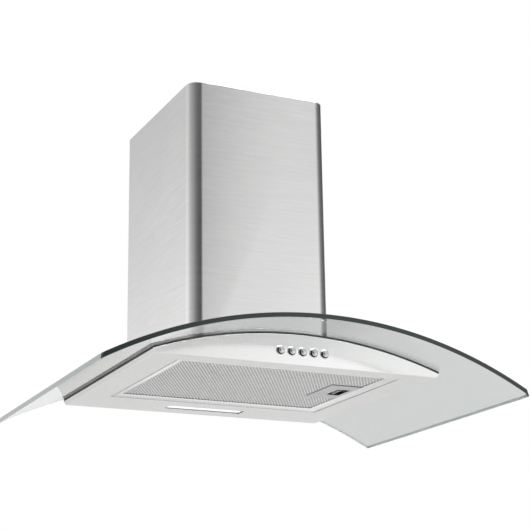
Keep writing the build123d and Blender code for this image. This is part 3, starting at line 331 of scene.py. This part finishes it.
def makeZincBloom():
    # galvanised sheet: soft crystals of slightly different grey
    group, ways, links, given, result = newGroup(
        "zincBloom",
        [("Zinc", "NodeSocketColor", (0.6, 0.62, 0.64, 1)), ("Roughness", "NodeSocketFloat", 0.38)],
        [("Colour", "NodeSocketColor"), ("Roughness", "NodeSocketFloat"), ("Height", "NodeSocketFloat")])
    at = ways.new("ShaderNodeTexCoord").outputs["Object"]
    crystal = ways.new("ShaderNodeTexVoronoi")
    crystal.inputs["Scale"].default_value = 120.0
    links.new(at, crystal.inputs["Vector"])
    grey = ways.new("ShaderNodeSeparateColor")
    links.new(crystal.outputs["Color"], grey.inputs[0])
    cloud = noise(ways, links, at, 30.0)
    mix = mathNode(ways, links, "ADD", mathNode(ways, links, "MULTIPLY", grey.outputs[0], 0.6),
                   mathNode(ways, links, "MULTIPLY", cloud, 0.4))
    links.new(tinted(ways, links, given.outputs["Zinc"], spread(ways, links, mix, 0.88, 1.1)),
              result.inputs["Colour"])
    rough = mathNode(ways, links, "ADD", given.outputs["Roughness"], spread(ways, links, mix, -0.07, 0.09))
    links.new(rough, result.inputs["Roughness"])
    links.new(cloud, result.inputs["Height"])
    return group


def makeSmudge():
    # finger marks and dust on glass and polished metal
    group, ways, links, given, result = newGroup(
        "smudge",
        [("Tone", "NodeSocketColor", (0.9, 0.9, 0.9, 1)), ("Clean", "NodeSocketFloat", 0.02),
         ("Marked", "NodeSocketFloat", 0.1), ("Size", "NodeSocketFloat", 14.0)],
        [("Colour", "NodeSocketColor"), ("Roughness", "NodeSocketFloat")])
    at = ways.new("ShaderNodeTexCoord").outputs["Object"]
    mark = ways.new("ShaderNodeTexNoise")
    mark.inputs["Detail"].default_value = 5.0
    mark.inputs["Roughness"].default_value = 0.6
    links.new(at, mark.inputs["Vector"])
    links.new(given.outputs["Size"], mark.inputs["Scale"])
    where = ways.new("ShaderNodeMapRange")
    where.inputs["From Min"].default_value = 0.52
    where.inputs["From Max"].default_value = 0.78
    links.new(mark.outputs["Fac"], where.inputs["Value"])
    links.new(spread(ways, links, where.outputs["Result"], given.outputs["Clean"], given.outputs["Marked"]),
              result.inputs["Roughness"])
    dulled = spread(ways, links, where.outputs["Result"], 1.0, 0.97)
    links.new(tinted(ways, links, given.outputs["Tone"], dulled), result.inputs["Colour"])
    return group


brushGrain = makeBrushGrain()
mouldedSkin = makeMouldedSkin()
zincBloom = makeZincBloom()
smudge = makeSmudge()


def newFinish(name, group, settings, fixed, bump=0.0, depth=0.00005):
    finish = bpy.data.materials.new(name)
    finish.use_nodes = True
    tree = finish.node_tree
    shader = tree.nodes["Principled BSDF"]
    for socket, value in fixed.items():
        shader.inputs[socket].default_value = value
    effect = tree.nodes.new("ShaderNodeGroup")
    effect.node_tree = group
    for socket, value in settings.items():
        effect.inputs[socket].default_value = value
    tree.links.new(effect.outputs["Colour"], shader.inputs["Base Color"])
    tree.links.new(effect.outputs["Roughness"], shader.inputs["Roughness"])
    if bump:
        relief = tree.nodes.new("ShaderNodeBump")
        relief.inputs["Strength"].default_value = bump
        relief.inputs["Distance"].default_value = depth
        tree.links.new(effect.outputs["Height"], relief.inputs["Height"])
        tree.links.new(relief.outputs["Normal"], shader.inputs["Normal"])
    return finish


def steelFinish(name, tone, stretch, contrast, rough, bump=0.12):
    return newFinish(
        name, brushGrain,
        {"Steel": tone, "Stretch": stretch, "Contrast": contrast, "Roughness": rough},
        {"Metallic": 1.0, "Anisotropic": 0.1}, bump)


def mouldedFinish(name, tone, rough, dust=0.1, grain=900.0, bump=0.25, **fixed):
    return newFinish(
        name, mouldedSkin, {"Tone": tone, "Dust": dust, "Roughness": rough, "Grain": grain},
        {"Metallic": 0.0, **fixed}, bump)


chimneySteel = steelFinish("chimneySteel", (0.88, 0.88, 0.877, 1), (22, 22, 620), 0.15, 0.20, 0.12)
panelSteel = steelFinish("panelSteel", (0.90, 0.89, 0.885, 1), (22, 620, 22), 0.12, 0.20, 0.12)
fasciaSteel = steelFinish("fasciaSteel", (0.98, 0.975, 0.97, 1), (22, 22, 620), 0.10, 0.16, 0.08)
traySteel = steelFinish("traySteel", (0.55, 0.55, 0.56, 1), (22, 620, 22), 0.12, 0.30, 0.12)
zincSheet = newFinish("zincSheet", zincBloom, {"Zinc": (0.62, 0.64, 0.66, 1)}, {"Metallic": 0.9}, 0.1)
platedScrew = newFinish(
    "platedScrew", zincBloom, {"Zinc": (0.72, 0.72, 0.73, 1), "Roughness": 0.24}, {"Metallic": 1.0}, 0.05)
springWire = steelFinish("springWire", (0.6, 0.6, 0.62, 1), (900, 60, 60), 0.1, 0.25, 0.05)
buttonChrome = newFinish(
    "buttonChrome", smudge, {"Tone": (0.86, 0.86, 0.87, 1), "Clean": 0.06, "Marked": 0.16, "Size": 260.0},
    {"Metallic": 1.0})
# button cap sides: darker chrome, plus painted shade standing in for the shadow of the gap round each cap
buttonSideDarkChromeAndShade = newFinish(
    "buttonSideDarkChromeAndShade", smudge, {"Tone": (0.10, 0.10, 0.105, 1), "Clean": 0.10, "Marked": 0.22, "Size": 260.0},
    {"Metallic": 1.0})
glassFace = newFinish(
    "glassFace", smudge, {"Tone": (0.95, 0.972, 0.966, 1), "Clean": 0.0, "Marked": 0.04, "Size": 9.0},
    {"Metallic": 0.0, "Transmission Weight": 1.0, "IOR": 1.5})
# the ground glass edge in two copies: a near-black one with painted shade for the front edge, and a pale one
# with painted light for the other edges
shadedGlassEdge = newFinish(
    "shadedGlassEdge", smudge, {"Tone": (0.008, 0.018, 0.016, 1), "Clean": 0.06, "Marked": 0.14, "Size": 40.0},
    {"Metallic": 0.0, "IOR": 1.5, "Coat Weight": 0.3})
litGlassEdge = newFinish(
    "litGlassEdge", smudge, {"Tone": (0.42, 0.48, 0.465, 1), "Clean": 0.1, "Marked": 0.2, "Size": 40.0},
    {"Metallic": 0.0, "IOR": 1.5, "Coat Weight": 0.3})
gasketRubber = mouldedFinish("gasketRubber", (0.022, 0.022, 0.022, 1), 0.62, 0.05)
blowerPlastic = mouldedFinish("blowerPlastic", (0.035, 0.036, 0.04, 1), 0.48)
collarPlastic = mouldedFinish("collarPlastic", (0.03, 0.03, 0.031, 1), 0.5)
motorCase = mouldedFinish("motorCase", (0.55, 0.55, 0.56, 1), 0.42, 0.08, 500.0, 0.4, Metallic=0.85)
filterAluminium = steelFinish("filterAluminium", (0.97, 0.97, 0.975, 1), (700, 5, 700), 0.06, 0.16)
strandAluminium = steelFinish("strandAluminium", (0.95, 0.95, 0.955, 1), (120, 120, 120), 0.2, 0.32)
# aluminium filter core coloured near black: painted shade showing through the holes of the mesh
filterCorePaintedShade = steelFinish("filterCorePaintedShade", (0.05, 0.05, 0.052, 1), (260, 260, 900), 0.6, 0.45, 0.4)
# frosted lens of the unlit lamp, with a faint emission: painted glow that brightens it
frostedLensWithPaintedGlow = mouldedFinish(
    "frostedLensWithPaintedGlow", (0.93, 0.935, 0.935, 1), 0.32, 0.02, 700.0, 0.15,
    **{"Emission Color": (1, 1, 1, 1), "Emission Strength": 0.26})
lampCeramic = mouldedFinish("lampCeramic", (0.82, 0.80, 0.76, 1), 0.25, 0.04, 300.0, 0.08)
bulbOpal = mouldedFinish(
    "bulbOpal", (0.93, 0.92, 0.88, 1), 0.12, 0.02, 200.0, 0.04,
    **{"Subsurface Weight": 0.3, "Subsurface Scale": 0.004})
switchPlastic = mouldedFinish("switchPlastic", (0.78, 0.78, 0.74, 1), 0.45)
boxPlastic = mouldedFinish("boxPlastic", (0.06, 0.06, 0.065, 1), 0.5)
cableSheath = mouldedFinish("cableSheath", (0.7, 0.7, 0.68, 1), 0.5, 0.08, 600.0, 0.15)
capacitorCan = mouldedFinish("capacitorCan", (0.76, 0.76, 0.73, 1), 0.38)

finishOf = {
    chimneySteel: ["lower_chimney", "upper_chimney"],
    fasciaSteel: ["fascia_panel"],
    panelSteel: ["bottom_panel", "latch_plate"],
    zincSheet: ["rear_panel", "top_cover", "chimney_brackets", "chassis_back", "chassis_left",
                "chassis_right", "chassis_brace", "motor_bracket", "switch_bracket", "lamp_housing",
                "capacitor_clip", "upper_bracket", "latch_slider"],
    platedScrew: ["glass_washers", "glass_screws", "chassis_screws", "blower_screws", "flap_pins",
                  "motor_shaft"],
    springWire: ["latch_spring"] + ["button_spring_%d" % number for number in range(1, 6)],
    buttonChrome: ["button_%d" % number for number in range(1, 6)],
    glassFace: ["glass_canopy"],
    gasketRubber: ["glass_gasket", "glass_bushes", "wall_spacers"],
    blowerPlastic: ["scroll_left", "scroll_right", "inlet_guard", "impeller"],
    collarPlastic: ["outlet_collar", "flap_left", "flap_right"],
    motorCase: ["motor_body"],
    filterAluminium: ["filter_frame"],
    strandAluminium: ["filter_face_mesh"],
    filterCorePaintedShade: ["filter_core"],
    frostedLensWithPaintedGlow: ["lamp_cover"],
    lampCeramic: ["lamp_holder"],
    bulbOpal: ["lamp_bulb"],
    switchPlastic: ["switch_block"],
    boxPlastic: ["terminal_box", "terminal_lid", "cable_gland", "loom_clip"],
    cableSheath: ["wiring_loom"],
    capacitorCan: ["capacitor"],
}


def dress(piece, finish):
    piece.data.materials.clear()
    piece.data.materials.append(finish)


for finish, names in finishOf.items():
    for name in names:
        dress(nodes[name], finish)
print("finishes on every part")


# sheet parts whose folded edges are rounded, so that they catch the light
foldedSheets = {
    "lower_chimney": ("chimney_shell", "hood", "brushed_steel", chimneySteel, 0.0003),
    "fascia_panel": ("fascia", "hood", "brushed_steel", fasciaSteel, 0.0006),
    "bottom_panel": ("underside", "hood", "brushed_steel", panelSteel, 0.0006),
    "filter_frame": ("filter_rim", "filter", "filter_aluminium", filterAluminium, 0.0005),
    "latch_plate": ("latch_tray", "filter", "brushed_steel", traySteel, 0.00035),
}


def roundSheet(node, name, finish, width):
    letGo()
    sheet = nodes[node].copy()
    sheet.data = nodes[node].data.copy()
    sheet.name = name
    sheet.parent = None
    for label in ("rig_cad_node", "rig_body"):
        del sheet[label]
    scene.collection.objects.link(sheet)
    pickAll(sheet)
    bpy.ops.mesh.remove_doubles(threshold=0.000005)
    bpy.ops.mesh.dissolve_limited(angle_limit=math.radians(0.5))
    bpy.ops.object.mode_set(mode="OBJECT")
    work(sheet)
    bpy.ops.mesh.customdata_custom_splitnormals_clear()
    smooth(sheet, 30)
    softenEdges(sheet, width, 3, 40)
    dress(sheet, finish)
    return sheet


for node, (name, body, slot, finish, width) in foldedSheets.items():
    place(roundSheet(node, name, finish, width), body, slot, node)
print("sheet edges rounded")


# the bent glass: a strip spun round the axis of the arch, trimmed to its plan, ground edges
glassSizes = {
    "radius": 0.634,
    "thickness": 0.006,
    "crown": 0.0045,  # how far the front edge bows forward
    "bowSides": 4096,
    "cornerRadius": 0.014,
    "spinSteps": 84,
    "notchClearance": 0.004,
    "overhang": 0.01,  # spun this much too long and too wide, then trimmed
    "screwX": 0.158,
    "bushRadius": 0.009,
    "holeRadius": 0.006,
    "groundEdge": 0.0009,
    "frontEdgeDepth": 0.004,
}


def buildGlass(sizes):
    low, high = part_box("glass_canopy")
    axisHeight = high.z - sizes["radius"] - sizes["thickness"]
    half = high.x
    frontSide = low.y + sizes["crown"]
    frontTrim = low.y - sizes["overhang"]
    middle = axisHeight + sizes["radius"] + sizes["thickness"] / 2
    letGo()
    bpy.ops.mesh.primitive_plane_add(size=1, location=(0, (frontTrim + high.y) / 2, middle),
                                     rotation=(0, math.pi / 2, 0))
    glass = bpy.context.object
    glass.name = "glass_pane"
    glass.scale = (sizes["thickness"], high.y - frontTrim, 1)
    settle(glass)
    sweep = math.asin((half + 1.2 * sizes["overhang"]) / sizes["radius"])
    pivot = (0, 0, axisHeight)
    pickAll(glass)
    bpy.ops.mesh.spin(steps=sizes["spinSteps"] // 2, angle=sweep, center=pivot, axis=(0, 1, 0))
    bpy.ops.object.mode_set(mode="OBJECT")
    facesOut(glass)
    other = copyOf(glass, "glass_other", (0, 0, 0))
    pickAll(other)
    bpy.ops.transform.mirror(orient_type="GLOBAL", constraint_axis=(True, False, False),
                             center_override=(0, 0, 0))
    bpy.ops.mesh.flip_normals()
    bpy.ops.object.mode_set(mode="OBJECT")
    glass = joinAll([glass, other], "glass_pane")
    # the two middle faces lie on each other, and go with the seam
    pickFaces(glass, lambda centre, normal: abs(centre.x) < 1e-5 and abs(normal.x) > 0.9)
    bpy.ops.mesh.delete(type="FACE")
    bpy.ops.object.mode_set(mode="OBJECT")
    facesOut(glass)
    for side in (-1, 1):
        pickAll(glass)
        bpy.ops.mesh.bisect(plane_co=(side * half, 0, 0), plane_no=(side, 0, 0),
                            clear_outer=True, use_fill=True)
        bpy.ops.object.mode_set(mode="OBJECT")
    bow = (half * half + sizes["crown"] ** 2) / (2 * sizes["crown"])
    cutWith(glass, newRod("bow", bow, 1.0, (0, low.y + bow, middle), sides=sizes["bowSides"]), "INTERSECT")
    pickEdges(glass, lambda a, b: abs(abs(a.x) - half) < 1e-4 and (a - b).length < 1.5 * sizes["thickness"]
              and abs(a.x - b.x) < 1e-4 and max(a.y, b.y) < frontSide + 0.0005 and abs(a.y - b.y) < 1e-4)
    bpy.ops.mesh.bevel(offset=sizes["cornerRadius"], segments=10, affect="EDGES")
    bpy.ops.object.mode_set(mode="OBJECT")
    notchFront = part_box("chassis_left")[0].y - sizes["notchClearance"]
    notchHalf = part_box("chassis_back")[1].x + sizes["notchClearance"]
    notch = newBlock("notch", (-notchHalf, notchFront, low.z), (notchHalf, sizes["overhang"], high.z + 0.1))
    cutWith(glass, notch)
    bushLow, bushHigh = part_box("glass_bushes")
    rows = (bushLow.y + sizes["bushRadius"], bushHigh.y - sizes["bushRadius"])
    for side in (-1, 1):
        for y in rows:
            tilt = math.asin(side * sizes["screwX"] / sizes["radius"])
            at = Vector((math.sin(tilt), 0, math.cos(tilt))) * sizes["radius"] + Vector((0, y, axisHeight))
            cutWith(glass, newRod("hole", sizes["holeRadius"], 5 * sizes["thickness"], at, (0, tilt, 0)))
    smooth(glass, 12)
    softenEdges(glass, sizes["groundEdge"], 3, 40)
    dress(glass, glassFace)
    # front edge faces take the painted-shade copy, the other edge faces the lighter painted-light copy
    glass.data.materials.append(shadedGlassEdge)
    glass.data.materials.append(litGlassEdge)
    for face in glass.data.polygons:
        outward = Vector((face.center.x, 0, face.center.z - axisHeight)).normalized()
        # painted shade: the front edge takes the dark copy along its length, the other ground edges take the
        # pale, lit copy
        front = face.center.y < frontSide + sizes["frontEdgeDepth"]
        edge = 1 if front else 2  # the front edge looks dark along its length
        face.material_index = 0 if abs(face.normal.dot(outward)) > 0.985 else edge
    return glass


glassPane = buildGlass(glassSizes)
place(glassPane, "hood", "clear_glass", "glass_canopy")
print("glass bent and ground")


# the expanded mesh of the grease filter: two crossed sets of tilted strands
meshSizes = {
    "pitch": 0.0048,  # across the filter, from diamond to diamond
    "lean": 59,  # degrees between the strands and the filter's long side
    "strandWidth": 0.00105,
    "strandThickness": 0.00025,
    "twist": 8,
    "layerShift": 0.00008,  # each set of strands off the middle
    "plateMargin": 0.0006,
}


def buildStrands(sizes, low, high, side):
    lean = math.radians(sizes["lean"]) * side
    middle = (low + high) / 2
    reach = (high - low).length
    step = sizes["pitch"] * math.sin(math.radians(sizes["lean"]))
    count = int(reach / step)
    letGo()
    bpy.ops.mesh.primitive_cube_add(size=1)
    strand = bpy.context.object
    strand.name = "strands"
    strand.scale = (reach, sizes["strandWidth"], sizes["strandThickness"])
    settle(strand)
    pickAll(strand)
    bpy.ops.transform.rotate(value=math.radians(sizes["twist"]), orient_axis="X", orient_type="GLOBAL",
                             center_override=(0, 0, 0))
    bpy.ops.object.mode_set(mode="OBJECT")
    work(strand)
    rows = strand.modifiers.new("rows", "ARRAY")
    rows.count = count
    rows.use_relative_offset = False
    rows.use_constant_offset = True
    rows.constant_offset_displace = (0, step, 0)
    bpy.ops.object.modifier_apply(modifier="rows")
    strand.location = (0, -step * (count - 1) / 2, 0)
    settle(strand)
    strand.rotation_euler = (0, 0, lean)
    strand.location = (middle.x, middle.y, middle.z + side * sizes["layerShift"])
    settle(strand)
    edges = (((low.x, 0, 0), (-1, 0, 0)), ((high.x, 0, 0), (1, 0, 0)),
             ((0, low.y, 0), (0, -1, 0)), ((0, high.y, 0), (0, 1, 0)))
    for spot, away in edges:
        pickAll(strand)
        bpy.ops.mesh.bisect(plane_co=spot, plane_no=away, clear_outer=True, use_fill=True)
        bpy.ops.object.mode_set(mode="OBJECT")
    return strand


def buildMesh(sizes):
    low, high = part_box("filter_face_mesh")
    mesh = joinAll([buildStrands(sizes, low, high, side) for side in (1, -1)], "filter_mesh")
    plateLow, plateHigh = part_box("latch_plate")
    margin = sizes["plateMargin"]
    # clear the strands away where the latch plate sits
    for spot, away in (((plateLow.x - margin, 0, 0), (1, 0, 0)), ((0, plateLow.y - margin, 0), (0, 1, 0)),
                       ((0, plateHigh.y + margin, 0), (0, 1, 0))):
        pickAll(mesh)
        bpy.ops.mesh.bisect(plane_co=spot, plane_no=away, use_fill=False)
        bpy.ops.object.mode_set(mode="OBJECT")
    pickFaces(mesh, lambda centre, normal: centre.x > plateLow.x - margin
              and plateLow.y - margin < centre.y < plateHigh.y + margin)
    bpy.ops.mesh.delete(type="FACE")
    bpy.ops.mesh.select_all(action="DESELECT")
    bpy.ops.object.mode_set(mode="OBJECT")
    dress(mesh, strandAluminium)
    return mesh


filterMesh = buildMesh(meshSizes)
place(filterMesh, "filter", "filter_aluminium", "filter_face_mesh")
print("filter mesh woven,", len(filterMesh.data.polygons), "faces")


# push buttons: turned cap with a rolled edge and a shallow crown, and the ring that guides it
buttonSizes = {
    "stemRadius": 0.0025,
    "capLength": 0.008,
    "edgeRoll": 0.0007,
    "crown": 0.0005,
    "crownSteps": (0.10, 0.3, 0.6),
    "sides": 56,
    "ringInner": 0.0050,
    "ringOuter": 0.0062,
    "ringLength": 0.0016,
    "ringSunk": 0.0001,
}


sideways = (math.pi / 2, 0, 0)


def buildButton(sizes):
    low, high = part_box("button_1")
    radius = (high.x - low.x) / 2
    centre = (low + high) / 2
    capCentre = (centre.x, low.y + sizes["capLength"] / 2, centre.z)
    button = newRod("button_cap_1", radius, sizes["capLength"], capCentre, sideways, sizes["sides"])
    # crown on the front, by rings that each step out a little
    pickFaces(button, lambda centre, normal: normal.y < -0.9)
    for share in sizes["crownSteps"]:
        bpy.ops.mesh.inset(thickness=radius * 0.26, depth=0)
        bpy.ops.transform.translate(value=(0, -sizes["crown"] * share, 0))
    bpy.ops.object.mode_set(mode="OBJECT")
    # stem on the rear
    pickFaces(button, lambda centre, normal: normal.y > 0.9)
    bpy.ops.mesh.inset(thickness=radius - sizes["stemRadius"], depth=0)
    bpy.ops.mesh.extrude_region_move(
        TRANSFORM_OT_translate={"value": (0, high.y - low.y - sizes["capLength"], 0)})
    bpy.ops.object.mode_set(mode="OBJECT")
    pickEdges(button, lambda a, b: max(abs(a.y - low.y), abs(b.y - low.y)) < 1e-5
              and (Vector((a.x - centre.x, a.z - centre.z)).length > radius * 0.98))
    bpy.ops.mesh.bevel(offset=sizes["edgeRoll"], segments=4, affect="EDGES")
    bpy.ops.object.mode_set(mode="OBJECT")
    pickAll(button)
    bpy.ops.transform.translate(value=(0, sizes["crown"], 0))
    bpy.ops.object.mode_set(mode="OBJECT")
    smooth(button, 40)
    dress(button, buttonChrome)
    # the cap's sides take the dark chrome copy, which also carries painted shade from the gap
    button.data.materials.append(buttonSideDarkChromeAndShade)
    pickFaces(button, lambda centre, normal: abs(normal.y) < 0.96)
    bpy.ops.object.mode_set(mode="OBJECT")
    for face in button.data.polygons:
        face.material_index = 1 if face.select else 0
    return button


def buildRing(sizes):
    low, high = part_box("button_1")
    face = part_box("fascia_panel")[0].y
    centre = (low + high) / 2
    width = sizes["ringOuter"] - sizes["ringInner"]
    ringCentre = (centre.x, face - sizes["ringSunk"], centre.z)
    ring = newRod("button_ring", sizes["ringOuter"], sizes["ringLength"], ringCentre, sideways,
                  sizes["sides"])
    bore = newRod("bore", sizes["ringInner"], 0.01, (centre.x, face, centre.z), sideways, sizes["sides"])
    cutWith(ring, bore)
    smooth(ring, 40)
    softenEdges(ring, width * 0.4, 3, 40)
    dress(ring, buttonChrome)
    return ring


firstButton = buildButton(buttonSizes)
firstRing = buildRing(buttonSizes)
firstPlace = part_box("button_1")[0]
rings = [firstRing]
for number in range(1, 6):
    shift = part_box("button_%d" % number)[0] - firstPlace
    button = firstButton
    if number > 1:
        button = copyOf(firstButton, "button_cap_%d" % number, shift)
        rings.append(copyOf(firstRing, "ring", shift))
    place(button, "push_button_%d" % number, "chrome_button", "button_%d" % number)
buttonRings = joinAll(rings, "button_rings")
place(buttonRings, "hood", "chrome_button")
print("buttons turned")


# camera, lights and floor
viewpoint = {
    "place": (-0.84085, -2.01945, -0.60335),
    "yaw": 0.4419,
    "pitch": 0.2886,
    "roll": -0.0136,
    "lens": 99.36,
    "shift": (0.0108, 0.0070),
}


def addCamera(values):
    yaw, pitch, roll = values["yaw"], values["pitch"], values["roll"]
    ahead = Vector((math.sin(yaw) * math.cos(pitch), math.cos(yaw) * math.cos(pitch), math.sin(pitch)))
    level = Vector((math.cos(yaw), -math.sin(yaw), 0))
    upright = level.cross(ahead)
    right = level * math.cos(roll) + upright * math.sin(roll)
    up = upright * math.cos(roll) - level * math.sin(roll)
    letGo()
    bpy.ops.object.camera_add(location=values["place"])
    camera = bpy.context.object
    camera.rotation_euler = Matrix((right, up, -ahead)).transposed().to_euler()
    camera.data.lens = values["lens"]
    camera.data.sensor_width = 36
    camera.data.shift_x, camera.data.shift_y = values["shift"]
    camera.data.clip_end = 100
    scene.camera = camera


addCamera(viewpoint)

# brightness round the horizon, by compass angle from straight ahead of the hood, right positive
studio = {
    "round": [(-180, 0.92), (-160, 0.91), (-143, 1.25), (-120, 1.1), (-95, 0.72), (-62, 0.44), (-30, 0.16),
              (4, 0.04), (14, 0.24), (21, 0.96), (28, 1.2), (36, 1.15), (48, 0.64), (66, 0.24), (95, 0.16),
              (125, 0.13), (145, 0.5), (160, 0.95), (180, 0.95)],
    "above": [(-0.05, 1.25), (0.12, 1.2), (0.20, 1.12), (0.235, 1.03), (0.30, 0.88), (0.40, 0.69),
              (0.52, 0.6), (0.8, 1.3), (1.0, 1.45)],
    "below": (0.45, 0.82),  # in front, behind
    "lowBand": 1.35,  # just under the horizon behind the hood
    "behindGlass": 0.74,
    "floorDrop": 2.1,
    "brightest": 1.5,  # top of both ramps
    "evenFrom": (0.5, 0.8),
    "underFrom": (-0.5, 0.3),
    "bandFrom": (-0.19, -0.09),
    "riseFrom": (-0.02, 0.06),
    "floorSize": 12.0,
    "softBox": 170.0,
    "softBoxPlace": (0.4, -0.9, 2.2),
    "softBoxTilt": 22,
    "softBoxSize": (2.4, 1.6),
}


def addRamp(ways, stops):
    ramp = ways.new("ShaderNodeValToRGB")
    points = ramp.color_ramp.elements
    while len(points) < len(stops):
        points.new(0.5)
    for point, (position, value) in zip(points, stops):
        point.position = position
        point.color = (value, value, value, 1)
    return ramp


def roomLight(ways, links, values):  # strength of the room by direction
    top = values["brightest"]
    direction = ways.new("ShaderNodeSeparateXYZ")
    links.new(ways.new("ShaderNodeTexCoord").outputs["Generated"], direction.inputs[0])
    ahead = mathNode(ways, links, "MULTIPLY", direction.outputs[1], -1.0)
    angle = mathNode(ways, links, "ARCTAN2", direction.outputs[0], ahead)
    turn = mathNode(ways, links, "ADD", mathNode(ways, links, "DIVIDE", angle, 2 * math.pi), 0.5)
    around = addRamp(ways, [(degrees / 360 + 0.5, min(value / top, 1)) for degrees, value in values["round"]])
    links.new(turn, around.inputs[0])
    height = addRamp(ways, [((z + 1) / 2, value / top) for z, value in values["above"]])
    lifted = mathNode(ways, links, "ADD", direction.outputs[2], 1.0)
    links.new(mathNode(ways, links, "MULTIPLY", lifted, 0.5), height.inputs[0])
    side = mathNode(ways, links, "MULTIPLY", around.outputs[0], top)
    lift = mathNode(ways, links, "MULTIPLY", height.outputs[0], top)
    # high up the room is evenly light whichever way one looks
    evened = ways.new("ShaderNodeMix")
    links.new(easedRange(ways, links, direction.outputs[2], *values["evenFrom"]), evened.inputs[0])
    links.new(side, evened.inputs[2])
    evened.inputs[3].default_value = 1.0
    upper = mathNode(ways, links, "MULTIPLY", evened.outputs[0], lift)
    # under the horizon it is light behind the hood and dim in front of it
    under = easedRange(ways, links, direction.outputs[1], *values["underFrom"], *values["below"])
    band = easedRange(ways, links, direction.outputs[2], *values["bandFrom"], 1.0, values["lowBand"])
    blend = ways.new("ShaderNodeMix")
    links.new(easedRange(ways, links, direction.outputs[2], *values["riseFrom"]), blend.inputs[0])
    links.new(mathNode(ways, links, "MULTIPLY", under, band), blend.inputs[2])
    links.new(upper, blend.inputs[3])
    return blend.outputs[0]


def addRoom(values):
    world = bpy.data.worlds.new("studio")
    scene.world = world
    world.use_nodes = True
    ways, links = world.node_tree.nodes, world.node_tree.links
    ways.clear()
    room = ways.new("ShaderNodeBackground")
    links.new(roomLight(ways, links, values), room.inputs["Strength"])
    plain = ways.new("ShaderNodeBackground")
    plain.inputs["Strength"].default_value = 1.0
    plain.inputs["Color"].default_value = (1, 1, 1, 1)
    seen = ways.new("ShaderNodeLightPath")
    veil = ways.new("ShaderNodeBackground")  # what clear glass shows behind it
    veil.inputs["Strength"].default_value = values["behindGlass"]
    through = ways.new("ShaderNodeMixShader")
    # only for clear glass looked through directly, not for what steel mirrors
    direct = mathNode(ways, links, "LESS_THAN", seen.outputs["Glossy Depth"], 0.5)
    looked = mathNode(ways, links, "MULTIPLY", seen.outputs["Is Transmission Ray"], direct)
    links.new(looked, through.inputs[0])
    links.new(room.outputs[0], through.inputs[1])
    links.new(veil.outputs[0], through.inputs[2])
    pick = ways.new("ShaderNodeMixShader")
    links.new(seen.outputs["Is Camera Ray"], pick.inputs[0])
    links.new(through.outputs[0], pick.inputs[1])
    links.new(plain.outputs[0], pick.inputs[2])
    links.new(pick.outputs[0], ways.new("ShaderNodeOutputWorld").inputs[0])


def addFloorAndLamp(values):
    letGo()
    floorHeight = cadBounds[0].z - values["floorDrop"]
    bpy.ops.mesh.primitive_plane_add(size=values["floorSize"], location=(0, 0, floorHeight))
    floor = bpy.context.object
    floor.name = "floor"
    dress(floor, mouldedFinish("floorPaint", (0.86, 0.86, 0.85, 1), 0.6, 0.02, 30.0, 0.02))
    bpy.ops.object.light_add(type="AREA", location=values["softBoxPlace"],
                             rotation=(math.radians(values["softBoxTilt"]), 0, 0))
    softBox = bpy.context.object
    softBox.data.shape = "RECTANGLE"
    softBox.data.size, softBox.data.size_y = values["softBoxSize"]
    softBox.data.energy = values["softBox"]


addRoom(studio)
addFloorAndLamp(studio)
print("studio set")
